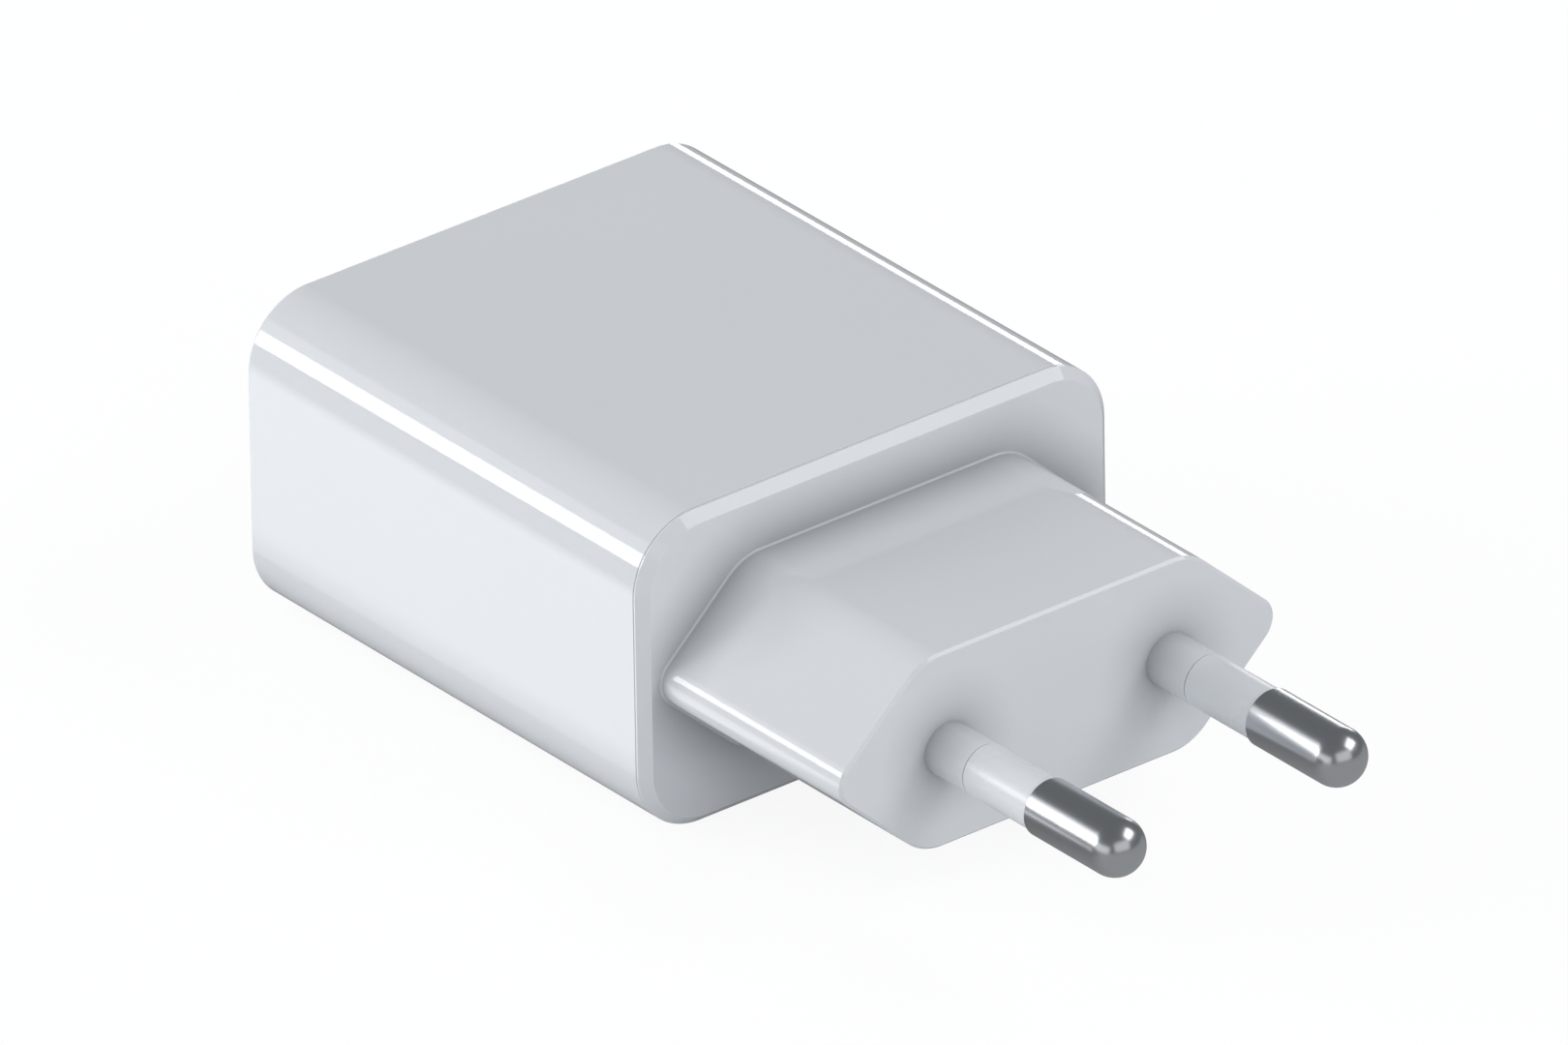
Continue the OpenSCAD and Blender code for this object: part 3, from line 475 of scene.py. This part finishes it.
# ---------------------------------------------------------------------------------------------
# USB receptacle shell: 0.3 mm stainless sheet folded round the port, nickel flashed, with a
# butt seam underneath, two pressed springs above and two below that grip the plug, and four
# legs soldered through the board.
sheet = 0.3
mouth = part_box("usb_shell")[1].y / MM
port_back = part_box("usb_shell")[0].y / MM
leg_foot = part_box("usb_shell")[0].z / MM
port_half = np.array([6.55, 2.86])
spring_width, spring_thick, spring_x = 1.7, 0.22, 2.9
leg_width, leg_bend = 1.4, -1.5
usb_steel, _ = finish("usb_steel", (0.66, 0.66, 0.67), (0.58, 0.58, 0.60), 0.22, swing=0.1,
                      drift=250.0, grain=5000.0, share=0.4, stretch=(1, 0.15, 1), bump=0.12,
                      depth=0.000005, metallic=1.0)


def strap(line, across, width, thick, corner=0.06, steps=4):
    """A flat strip along a line: at each point a rounded rectangle, width along the direction
    across and thick along (travel x across), with rounded ends that close on the middle."""
    line = np.array(line, float)
    travel = np.gradient(line, axis=0)
    travel = travel / np.linalg.norm(travel, axis=1, keepdims=True)
    across = np.array(across, float)
    depth = np.cross(travel, across)
    outline = oblong((width / 2, thick / 2), corner)
    turns = sorted_turns(corner_turns(outline, steps))
    pull = np.concatenate([[-corner], np.zeros(len(line)), [-corner]])
    flat, out = trace(outline, turns, pull)
    rows = np.concatenate([[0], np.arange(len(line)), [len(line) - 1]])
    place = line[rows][:, None] + flat[..., :1] * across + flat[..., 1:] * depth[rows][:, None]
    facing = out[..., :1] * across + out[..., 1:] * depth[rows][:, None]
    facing[0], facing[-1] = -travel[0], travel[-1]
    return place, facing, "poles"


def eased(line, times=3):
    """Cuts the corners of a line of points: each leg keeps its points at a quarter and three
    quarters, as often as times says, so that the line runs in smooth bends."""
    line = np.array(line, float)
    for _ in range(times):
        early, late = 0.75 * line[:-1] + 0.25 * line[1:], 0.25 * line[:-1] + 0.75 * line[1:]
        inner = np.stack([early, late], 1).reshape(-1, 3)
        line = np.concatenate([line[:1], inner[1:-1], line[-1:]])
    return line


fold_path = soften([(-sheet, port_back), (0, port_back), (0, mouth), (-sheet, mouth)],
                   [0.05, 0.08, 0.12, 0.1], closed=True)
port_steel = oblong(port_half, port_corner)
fold_turns = sorted_turns(corner_turns(port_steel, 13), apart=6.0)
folded = (*carried(port_steel, fold_turns, *fold_path), "loop")
grip_in = port_half[1] - sheet
spring_line = [(port_back + 3.2, grip_in + 0.08), (port_back + 5.5, grip_in - 0.02),
               (mouth - 3.6, grip_in - 0.42), (mouth - 2.6, grip_in - 0.40),
               (mouth - 1.7, grip_in + 0.04)]
springs = [
    strap(eased([(x, y, s * z) for y, z in spring_line]), (1, 0, 0), spring_width, spring_thick)
    for x in (-spring_x, spring_x) for s in (-1, 1)
]
leg_x = port_half[0] - sheet / 2
legs = [
    strap([(s * leg_x, y, z) for z in (leg_foot, leg_bend, 0.0)], (0, 1, 0), leg_width, sheet - 0.02)
    for s in (-1, 1) for y in (port_back + 3.0, 54.4)
]
port_sleeve = skin("usb_port_shell", [folded, *springs, *legs])
port_sleeve.data.materials.append(usb_steel)
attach(port_sleeve, "charger")
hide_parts("usb_shell")

# ---------------------------------------------------------------------------------------------
# Tongue block: white glass-filled polyester, moulded in one piece with four grooves for the
# contacts under its tongue, and pushed into the shell from behind. Its edges are just broken.
usb_plastic, _ = finish("usb_plastic", (0.80, 0.81, 0.82), (0.72, 0.735, 0.75), 0.38, swing=0.1,
                        drift=200.0, grain=6000.0, share=0.5, bump=0.15, depth=0.00001)


def broken_edges(name, node, width):
    """A copy of a CAD node with its doubled points merged and a narrow rounding on its edges."""
    mesh = nodes[node].data.copy()
    mesh.name = name
    work = bmesh.new()
    work.from_mesh(mesh)
    bmesh.ops.remove_doubles(work, verts=work.verts, dist=1e-7)
    bmesh.ops.dissolve_limit(work, angle_limit=radians(1), verts=work.verts, edges=work.edges)
    work.to_mesh(mesh)
    work.free()
    mesh.materials.clear()
    mesh.polygons.foreach_set("use_smooth", np.zeros(len(mesh.polygons), bool))
    piece = bpy.data.objects.new(name, mesh)
    bpy.context.scene.collection.objects.link(piece)
    edge = piece.modifiers.new("broken_edges", "BEVEL")
    edge.width, edge.segments = width * MM, 2
    edge.limit_method, edge.angle_limit = "ANGLE", radians(30)
    return piece


tongue = broken_edges("usb_tongue", "usb_tongue_block", 0.07)
tongue.data.materials.append(usb_plastic)
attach(tongue, "charger")
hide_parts("usb_tongue_block")

# ---------------------------------------------------------------------------------------------
# Port contacts: four strips of phosphor bronze, gold plated where the plug wipes them. Each
# springs from its root at the back of a groove, bulges below the tongue and turns up at its tip.
contact_thick, end_gap = 0.18, 0.03
contact_gold, _ = finish("contact_gold", (0.83, 0.60, 0.25), (0.76, 0.52, 0.19), 0.2, swing=0.12,
                         drift=400.0, grain=7000.0, share=0.4, stretch=(1, 0.2, 1), bump=0.1,
                         depth=0.000003, metallic=1.0)
for number in range(1, 5):
    low, high = (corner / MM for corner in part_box(f"usb_contact_{number}"))
    x, root_z, bulge = (low.x + high.x) / 2, high.z - 0.1, low.z + 0.1
    bends = [(low.y + end_gap, root_z), (low.y + 2.6, root_z - 0.28), (high.y - 2.5, bulge + 0.14),
             (high.y - 1.9, bulge - 0.01), (high.y - 1.3, bulge - 0.01),
             (high.y - 0.8, bulge + 0.2), (high.y - end_gap, root_z - 0.05)]
    line = eased([(x, y, z) for y, z in bends])
    strip = strap(line, (1, 0, 0), high.x - low.x, contact_thick, corner=0.05)
    contact = skin(f"spring_contact_{number}", [strip])
    contact.data.materials.append(contact_gold)
    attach(contact, f"contact_{number}")
    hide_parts(f"usb_contact_{number}")


def give(material, *names):
    """Puts a finish on CAD nodes that keep their own mesh."""
    for name in names:
        if not nodes[name].material_slots:
            nodes[name].data.materials.append(material)
        nodes[name].material_slots[0].material = material


give(contact_gold, "usb_contact_tails")

# ---------------------------------------------------------------------------------------------
# Pin carrier: a pale grey glass-filled nylon bar pressed in behind the plug face. It locks the
# flanges of both pins; its surface is matt, with short fibres showing.
carrier, _ = finish("carrier_plastic", (0.62, 0.635, 0.65), (0.48, 0.495, 0.51), 0.55, swing=0.1,
                    drift=220.0, grain=5200.0, share=0.55, stretch=(1, 1, 3), bump=0.3,
                    depth=0.00002)
give(carrier, "pin_carrier")

# ---------------------------------------------------------------------------------------------
# Pin strips: rolled brass, cut and bent, one from each pin's tail to the board. Riveted over
# the tail and soldered into the board; fine rolling lines run along each strip.
brass, _ = finish("strip_brass", (0.72, 0.53, 0.24), (0.58, 0.40, 0.17), 0.28, swing=0.15,
                  drift=260.0, grain=5000.0, share=0.45, stretch=(5, 0.4, 0.4), bump=0.15,
                  depth=0.000005, metallic=1.0)
give(brass, "pin_strip_left", "pin_strip_right")

# ---------------------------------------------------------------------------------------------
# Circuit board: one glass-fibre laminate on rails, with green lacquer over copper tracks. The
# tracks stand a little proud and show as a lighter green, and the weave shows as fine ripples.
tracks_per_metre, track_edge, track_lift = 260, (0.42, 0.45), -1.5
laminate, board = finish("board_laminate", (0.015, 0.16, 0.055), (0.010, 0.115, 0.04), 0.32,
                         swing=0.12, drift=120.0, grain=3800.0, share=0.35, bump=0.25,
                         depth=0.00001)
tree = board["tree"]
track_grid = put(tree, "ShaderNodeMapping", Vector=board["place"], Location=(0.0013, 0.0007, 0),
                 Scale=(tracks_per_metre, tracks_per_metre, 0.001))
tracks = put(tree, "ShaderNodeTexVoronoi", {"distance": "MANHATTAN", "feature": "F1"},
             Vector=track_grid.outputs[0], Scale=1.0)
no_track = put(tree, "ShaderNodeMapRange", Value=tracks.outputs["Distance"], n1=track_edge[0],
               n2=track_edge[1])
lacquer = put(tree, "ShaderNodeMix", {"data_type": "RGBA"}, n0=no_track.outputs[0],
              n7=board["skin"].outputs["Colour"], n6=(0.03, 0.27, 0.10, 1))
weave_x = put(tree, "ShaderNodeTexWave", {"bands_direction": "X"}, Vector=board["place"],
              Scale=700.0, Distortion=0.4)
weave_y = put(tree, "ShaderNodeTexWave", {"bands_direction": "Y"}, Vector=board["place"],
              Scale=700.0, Distortion=0.4)
cloth = put(tree, "ShaderNodeMath", {"operation": "MAXIMUM"}, n0=weave_x.outputs["Fac"],
            n1=weave_y.outputs["Fac"])
raised = put(tree, "ShaderNodeMath", {"operation": "MULTIPLY_ADD"}, n0=no_track.outputs[0],
             n1=track_lift, n2=cloth.outputs[0])
tree.links.new(lacquer.outputs[2], board["main"].inputs["Base Color"])
tree.links.new(raised.outputs[0], board["bump"].inputs["Height"])
give(laminate, "circuit_board")

# ---------------------------------------------------------------------------------------------
# Solder joints and tinned pins: the cones of solder under the board, and the transformer's
# pins of tinned copper wire. Bright where the solder has wetted, duller on the flanks.
tinned, _ = finish("tinned_metal", (0.68, 0.69, 0.70), (0.52, 0.53, 0.545), 0.2, swing=0.22,
                   drift=600.0, grain=6000.0, share=0.4, bump=0.3, depth=0.00001, metallic=1.0)
give(tinned, "solder_joints", "transformer_pins")

# ---------------------------------------------------------------------------------------------
# Insulating sheet: pressed fish paper, cut to fit and laid under the board to keep the solder
# side off the shell. Pale, matt and fibrous.
paper, _ = finish("insulating_paper", (0.60, 0.57, 0.49), (0.47, 0.44, 0.36), 0.8, swing=0.1,
                  drift=500.0, grain=5000.0, share=0.5, stretch=(1, 0.25, 1), bump=0.4,
                  depth=0.00003)
give(paper, "insulating_sheet")


# ---------------------------------------------------------------------------------------------
# Capacitors: aluminium cans in a shrunk PVC sleeve. A pale stripe down one side marks the
# negative lead; the sleeve stops short of the can's scored end, where the metal shows.
def sleeved_can(name, tone, second_tone, stripe_tone, stripe_from, along, bare_from):
    """stripe_from: how far from the middle plane the stripe starts. along: the can's own axis,
    0 for Y and 1 for Z. bare_from: the station on that axis past which the end disc shows. The
    stripe and the disc begin over a soft step. All in mm."""
    stripe_step, bare_step = 0.05, 0.04
    material, made = finish(name, tone, second_tone, 0.25, swing=0.12, drift=160.0, grain=3000.0,
                            share=0.25, bump=0.2, depth=0.00001, Coat_Weight=0.3)
    tree = made["tree"]
    parts = put(tree, "ShaderNodeSeparateXYZ", Vector=made["place"])
    aside = put(tree, "ShaderNodeMath", {"operation": "ABSOLUTE"}, n0=parts.outputs[0])
    stripe = put(tree, "ShaderNodeMapRange", Value=aside.outputs[0], n1=stripe_from * MM,
                 n2=(stripe_from + stripe_step) * MM)
    dashes = put(tree, "ShaderNodeTexWave", {"bands_direction": ("Y", "Z")[along]},
                 Vector=made["place"], Scale=110.0)
    dash = put(tree, "ShaderNodeMapRange", Value=dashes.outputs["Fac"], n1=0.80, n2=0.86)
    inked = put(tree, "ShaderNodeMix", {"data_type": "RGBA"}, n0=dash.outputs[0],
                n6=(*stripe_tone, 1), n7=(*tone, 1))
    striped = put(tree, "ShaderNodeMix", {"data_type": "RGBA"}, n0=stripe.outputs[0],
                  n6=made["skin"].outputs["Colour"], n7=inked.outputs[2])
    end = put(tree, "ShaderNodeMapRange", Value=parts.outputs[1 + along], n1=bare_from * MM,
              n2=(bare_from + bare_step) * MM)
    shown = put(tree, "ShaderNodeMix", {"data_type": "RGBA"}, n0=end.outputs[0],
                n6=striped.outputs[2], n7=(0.72, 0.73, 0.74, 1))
    tree.links.new(shown.outputs[2], made["main"].inputs["Base Color"])
    tree.links.new(end.outputs[0], made["main"].inputs["Metallic"])
    return material


past_the_can = 50.0
input_sleeve = sleeved_can("capacitor_sleeve_black", (0.018, 0.019, 0.022), (0.03, 0.031, 0.035),
                           (0.42, 0.43, 0.45), stripe_from=7.3, along=0, bare_from=past_the_can)
give(input_sleeve, "input_capacitor_left", "input_capacitor_right")
output_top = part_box("output_capacitor_left")[1].z / MM
output_sleeve = sleeved_can("capacitor_sleeve_blue", (0.02, 0.06, 0.20), (0.03, 0.085, 0.26),
                            (0.70, 0.72, 0.74), stripe_from=14.6, along=1,
                            bare_from=output_top - 0.3)
give(output_sleeve, "output_capacitor_left", "output_capacitor_right")

# ---------------------------------------------------------------------------------------------
# Fusible resistor: a ceramic rod wound with resistance wire, dipped in grey-blue flameproof
# paint and printed with four colour rings. Soldered into the board on its two leads.
rod_paint, paint_share = (0.18, 0.24, 0.27), 0.25
brown, black, gold = (0.30, 0.10, 0.03), (0.01, 0.01, 0.01), (0.60, 0.42, 0.10)
resistor_coat, coat = finish("resistor_coat", (0.20, 0.27, 0.30), (0.15, 0.21, 0.24), 0.45,
                             swing=0.12, drift=300.0, grain=4200.0, share=0.4, bump=0.3,
                             depth=0.00002)
tree = coat["tree"]
low, high = (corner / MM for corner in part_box("fusible_resistor"))
parts = put(tree, "ShaderNodeSeparateXYZ", Vector=coat["place"])
along = put(tree, "ShaderNodeMapRange", Value=parts.outputs[0], n1=low.x * MM, n2=high.x * MM)
rings = put(tree, "ShaderNodeValToRGB", Fac=along.outputs[0])
rings.color_ramp.interpolation = "CONSTANT"
ring_marks = [(0.30, brown), (0.36, rod_paint), (0.42, black), (0.48, rod_paint),
              (0.54, black), (0.60, rod_paint), (0.68, gold), (0.74, rod_paint)]
for at, tone in ring_marks:
    mark = rings.color_ramp.elements.new(at)
    mark.color = (*tone, 1)
for end_mark in (rings.color_ramp.elements[0], rings.color_ramp.elements[-1]):
    end_mark.color = (*rod_paint, 1)
painted = put(tree, "ShaderNodeMix", {"data_type": "RGBA"}, n0=paint_share,
              n6=rings.outputs["Color"], n7=coat["skin"].outputs["Colour"])
tree.links.new(painted.outputs[2], coat["main"].inputs["Base Color"])
give(resistor_coat, "fusible_resistor")

# ---------------------------------------------------------------------------------------------
# Filter choke: a pressed and sintered ferrite drum, wound with one layer of enamelled copper
# wire and soldered into the board. The ferrite is dark grey, matt and finely pitted.
ferrite, _ = finish("ferrite", (0.045, 0.046, 0.05), (0.09, 0.09, 0.095), 0.5, swing=0.15,
                    drift=350.0, grain=6000.0, share=0.6, bump=0.35, depth=0.00002)
give(ferrite, "choke_core")


def close_turns_group():
    """Wire laid side by side: round backs with dark lines of painted shade in the grooves between
    them, the place's X counted in turns. Puts out a height and a mask that is 1 in the lines
    between turns."""
    group = bpy.data.node_groups.new("close_turns", "ShaderNodeTree")
    group.interface.new_socket("Place", in_out="INPUT", socket_type="NodeSocketVector")
    group.interface.new_socket("Turns", in_out="INPUT", socket_type="NodeSocketFloat")
    group.interface.new_socket("Height", in_out="OUTPUT", socket_type="NodeSocketFloat")
    group.interface.new_socket("Between", in_out="OUTPUT", socket_type="NodeSocketFloat")
    given = group.nodes.new("NodeGroupInput").outputs
    backs = put(group, "ShaderNodeTexWave", {"bands_direction": "X"}, Vector=given["Place"],
                Scale=given["Turns"], Distortion=0.25, Detail=1.0)
    between = put(group, "ShaderNodeMapRange", Value=backs.outputs["Fac"], n1=0.22, n2=0.02)
    end = group.nodes.new("NodeGroupOutput")
    group.links.new(backs.outputs["Fac"], end.inputs["Height"])
    group.links.new(between.outputs[0], end.inputs["Between"])
    return group


close_turns = close_turns_group()


def wound(name, tone, second_tone, groove_shade, turn_to, turns, roughness, metallic=0.85):
    """A winding. turn_to brings the winding's own axis to X; the dark colour is painted shade in the
    grooves between turns.
    """
    material, made = finish(name, tone, second_tone, roughness, swing=0.1, drift=300.0,
                            grain=3000.0, share=0.3, bump=0.6, depth=0.00006, metallic=metallic,
                            Coat_Weight=0.4)
    tree = made["tree"]
    lay = put(tree, "ShaderNodeMapping", Vector=made["place"], Rotation=turn_to)
    wire = put(tree, "ShaderNodeGroup", {"node_tree": close_turns}, Place=lay.outputs[0],
               Turns=turns)
    # Painted shade: the grooves between turns take the dark colour.
    shade = put(tree, "ShaderNodeMix", {"data_type": "RGBA"}, n0=wire.outputs["Between"],
                n6=made["skin"].outputs["Colour"], n7=(*groove_shade, 1))
    tree.links.new(shade.outputs[2], made["main"].inputs["Base Color"])
    tree.links.new(wire.outputs["Height"], made["bump"].inputs["Height"])
    return material


y_to_x, z_to_x = (0, 0, -pi / 2), (0, pi / 2, 0)
# The third copper tone is the painted shade between turns.
copper = ((0.58, 0.21, 0.08), (0.46, 0.15, 0.05), (0.10, 0.03, 0.015))
choke_wire = wound("enamelled_copper_choke", *copper, z_to_x, turns=900.0, roughness=0.28)
give(choke_wire, "choke_winding")

# ---------------------------------------------------------------------------------------------
# Transformer: two E-shaped ferrite halves round a black phenolic bobbin with tinned pins. The
# primary and secondary are layers of enamelled wire under turns of yellow polyester tape.
fine_wire = wound("enamelled_copper_fine", *copper, y_to_x, turns=1300.0, roughness=0.3)
thick_wire = wound("enamelled_copper_thick", *copper, y_to_x, turns=500.0, roughness=0.26)
# The third tape tone is the painted shade between turns.
tape_tones = ((0.80, 0.58, 0.07), (0.72, 0.49, 0.05), (0.52, 0.34, 0.03))
tape = wound("polyester_tape", *tape_tones, y_to_x, turns=120.0, roughness=0.16, metallic=0.0)
give(ferrite, "transformer_core_front", "transformer_core_rear")
give(fine_wire, "primary_winding")
give(thick_wire, "secondary_winding")
give(tape, "winding_tape")
bobbin, _ = finish("bobbin_plastic", (0.016, 0.016, 0.018), (0.03, 0.03, 0.032), 0.42, swing=0.12,
                   drift=200.0, grain=4500.0, share=0.4, bump=0.25, depth=0.00001)
give(bobbin, "transformer_bobbin")

# ---------------------------------------------------------------------------------------------
# Packaged chips: the rectifier, the controller, the optocoupler and the output diode, each
# moulded in filled black epoxy round its lead frame and soldered to the board. The face is
# matt and finely pitted, as a spark-eroded mould leaves it.
epoxy, _ = finish("black_epoxy", (0.022, 0.022, 0.024), (0.04, 0.04, 0.043), 0.55, swing=0.12,
                  drift=300.0, grain=7000.0, share=0.6, bump=0.5, depth=0.00002)
give(epoxy, "bridge_rectifier", "controller_chip", "optocoupler", "output_diode")

# ---------------------------------------------------------------------------------------------
# Disc capacitor: a ceramic disc dipped in thick blue lacquer, which leaves it glossy and a
# little uneven. It stands on its two leads across the gap between mains and output side.
disc_coat, _ = finish("disc_coat", (0.03, 0.13, 0.42), (0.02, 0.09, 0.33), 0.18, swing=0.15,
                      drift=260.0, grain=2500.0, share=0.3, bump=0.35, depth=0.00004,
                      Coat_Weight=0.5)
give(disc_coat, "y_capacitor")

# ---------------------------------------------------------------------------------------------
# Chip resistors and capacitors: small blocks of fired tan ceramic, placed and soldered flat on
# the board by machine. All of them are one piece here, with one finish.
chip_ceramic, _ = finish("chip_ceramic", (0.50, 0.36, 0.22), (0.40, 0.28, 0.17), 0.45, swing=0.15,
                         drift=800.0, grain=7000.0, share=0.5, bump=0.3, depth=0.00001)
give(chip_ceramic, "chip_components")

# ---------------------------------------------------------------------------------------------
# Floor: a wide sheet of pale card just below the charger. It is staging, not part of it.
# The eye sees it evenly white. For mirror rays it glows as a painted reflection: dim below the
# part as a painted shadow, brighter in front, and with a painted bright strip beside the left
# side, which is what the gloss of the case shows.
floor_gap, floor_reach, floor_points = 0.02, 2000, 9
eye_glow, eye_share = 1.06, 0.85
mirror_below, mirror_front, mirror_strip = 0.22, 0.42, 1.9
front_from, front_full = 0.004, -0.018
strip_from, strip_full, strip_fades, strip_gone = -0.0235, -0.0265, -0.042, -0.070
strip_starts, strip_whole = 0.016, 0.026
floor_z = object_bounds()[0].z / MM - floor_gap
grid = np.linspace(-floor_reach, floor_reach, floor_points)
across, away = np.meshgrid(grid, grid, indexing="ij")
floor_mesh = bpy.data.meshes.new("pale_floor")
corner = np.arange(floor_points**2).reshape(floor_points, floor_points)
squares = np.stack([corner[:-1, :-1], corner[1:, :-1], corner[1:, 1:], corner[:-1, 1:]], -1)
floor_mesh.from_pydata(
    (np.stack([across, away, np.full_like(across, floor_z)], 2).reshape(-1, 3) * MM).tolist(), [],
    squares.reshape(-1, 4).tolist(),
)
floor = bpy.data.objects.new("pale_floor", floor_mesh)
bpy.context.scene.collection.objects.link(floor)
card, card_nodes = finish("pale_card", (0.82, 0.83, 0.845), (0.80, 0.81, 0.825), 0.9, drift=4.0,
                          grain=300.0)
tree = card_nodes["tree"]
ray = put(tree, "ShaderNodeLightPath")
glow = put(tree, "ShaderNodeEmission", Color=(1.0, 1.0, 1.0, 1.0), Strength=eye_glow)
seen = put(tree, "ShaderNodeMath", {"operation": "MULTIPLY"}, n0=ray.outputs["Is Camera Ray"],
           n1=eye_share)
parts = put(tree, "ShaderNodeSeparateXYZ", Vector=card_nodes["place"])
front_part = put(tree, "ShaderNodeMapRange", Value=parts.outputs[1], n1=front_from, n2=front_full,
                 n3=mirror_below, n4=mirror_front)
strip_near = put(tree, "ShaderNodeMapRange", Value=parts.outputs[0], n1=strip_from, n2=strip_full,
                 n4=mirror_strip)
strip_far = put(tree, "ShaderNodeMapRange", Value=parts.outputs[0], n1=strip_gone, n2=strip_fades)
strip_start = put(tree, "ShaderNodeMapRange", Value=parts.outputs[1], n1=strip_starts,
                  n2=strip_whole)
beside = put(tree, "ShaderNodeMath", {"operation": "MULTIPLY"}, n0=strip_far.outputs[0],
             n1=strip_start.outputs[0])
strip = put(tree, "ShaderNodeMath", {"operation": "MULTIPLY_ADD"}, n0=strip_near.outputs[0],
            n1=beside.outputs[0], n2=front_part.outputs[0])
# Painted reflection: a glow that only mirror rays see, dim below the part, brighter in front and in the
# strip.
sheen = put(tree, "ShaderNodeEmission", Color=(0.97, 0.985, 1.0, 1.0), Strength=strip.outputs[0])
bounce = put(tree, "ShaderNodeMixShader", Fac=ray.outputs["Is Glossy Ray"],
             n1=card_nodes["main"].outputs[0], n2=sheen.outputs[0])
lit = put(tree, "ShaderNodeMixShader", Fac=seen.outputs[0], n1=bounce.outputs[0], n2=glow.outputs[0])
under = put(tree, "ShaderNodeNewGeometry")
clear = put(tree, "ShaderNodeBsdfTransparent")
card_side = put(tree, "ShaderNodeMixShader", Fac=under.outputs["Backfacing"], n1=lit.outputs[0],
                n2=clear.outputs[0])
card_end = next(node for node in tree.nodes if node.type == "OUTPUT_MATERIAL")
tree.links.new(card_side.outputs[0], card_end.inputs[0])
floor_mesh.materials.append(card)

# ---------------------------------------------------------------------------------------------
# Studio: a soft surround, a wide low softbox behind on the left that draws the bright line
# along the upper left edge, with a weak one above it, a narrow one behind on the right, and
# fills in front, in front on the right and on the left.
scene = bpy.context.scene
scene.view_settings.view_transform = "Standard"
scene.view_settings.look = "None"
world = bpy.data.worlds.new("surround")
scene.world = world
world.use_nodes = True
tree = world.node_tree
tree.nodes.clear()
ray = put(tree, "ShaderNodeLightPath")
fill = put(tree, "ShaderNodeBackground", Color=(0.95, 0.975, 1.0, 1.0), Strength=0.48)
mirror = put(tree, "ShaderNodeBackground", Color=(0.93, 0.965, 1.0, 1.0), Strength=0.20)
white = put(tree, "ShaderNodeBackground", Color=(1.0, 1.0, 1.0, 1.0), Strength=1.0)
mirrored = put(tree, "ShaderNodeMixShader", Fac=ray.outputs["Is Glossy Ray"], n1=fill.outputs[0],
               n2=mirror.outputs[0])
shown = put(tree, "ShaderNodeMixShader", Fac=ray.outputs["Is Camera Ray"], n1=mirrored.outputs[0],
            n2=white.outputs[0])
put(tree, "ShaderNodeOutputWorld", Surface=shown.outputs[0])


def softbox(name, around, height, width, tall, power):
    """An area light that faces the object, from the compass angle around (0 is the right-hand
    side, 90 the port end) and the angle height above the table. width and tall in metres."""
    away, middle = 0.9, Vector((0.0, 0.02, 0.0))
    lamp = bpy.data.lights.new(name, "AREA")
    lamp.shape = "RECTANGLE"
    lamp.size, lamp.size_y, lamp.energy = width, tall, power
    box = bpy.data.objects.new(name, lamp)
    scene.collection.objects.link(box)
    flat, lift = radians(around), radians(height)
    aim = Vector((cos(flat) * cos(lift), sin(flat) * cos(lift), sin(lift)))
    box.location = middle + aim * away
    box.rotation_euler = (-aim).to_track_quat("-Z", "Y").to_euler()
    box.visible_camera = False


softbox("back_left_box", around=135, height=15, width=0.55, tall=0.235, power=2.6)
softbox("back_left_glow", around=135, height=28, width=0.55, tall=0.20, power=0.38)
softbox("back_right_strip", around=44, height=4.5, width=0.50, tall=0.20, power=0.9)
softbox("front_right_fill", around=318, height=43, width=0.60, tall=0.40, power=1.9)
softbox("front_fill", around=262, height=22, width=0.95, tall=0.55, power=1.0)
softbox("left_fill", around=185, height=11, width=0.95, tall=0.40, power=0.9)

# ---------------------------------------------------------------------------------------------
# Camera: a very long lens from far away, so that parallel edges stay parallel. It looks down
# on the plug end, the top and the left side.
camera_data = bpy.data.cameras.new("long_lens")
camera_data.sensor_width = 36.0
camera_data.lens = 1000.0
frame_width = 0.0988
camera_away = frame_width * camera_data.lens / camera_data.sensor_width
camera_data.clip_start, camera_data.clip_end = 0.1, 12.0
camera = bpy.data.objects.new("long_lens", camera_data)
scene.collection.objects.link(camera)
looked_at = Vector((-9.92, 15.01, 10.25)) * MM
right = Vector((0.7783, -0.6275, -0.0142)).normalized()
up = Vector((0.3107, 0.3653, 0.8776)).normalized()
back = right.cross(up).normalized()
up = back.cross(right)
turn = Matrix((right, up, back)).transposed().to_4x4()
camera.matrix_world = Matrix.Translation(looked_at + back * camera_away) @ turn
scene.camera = camera
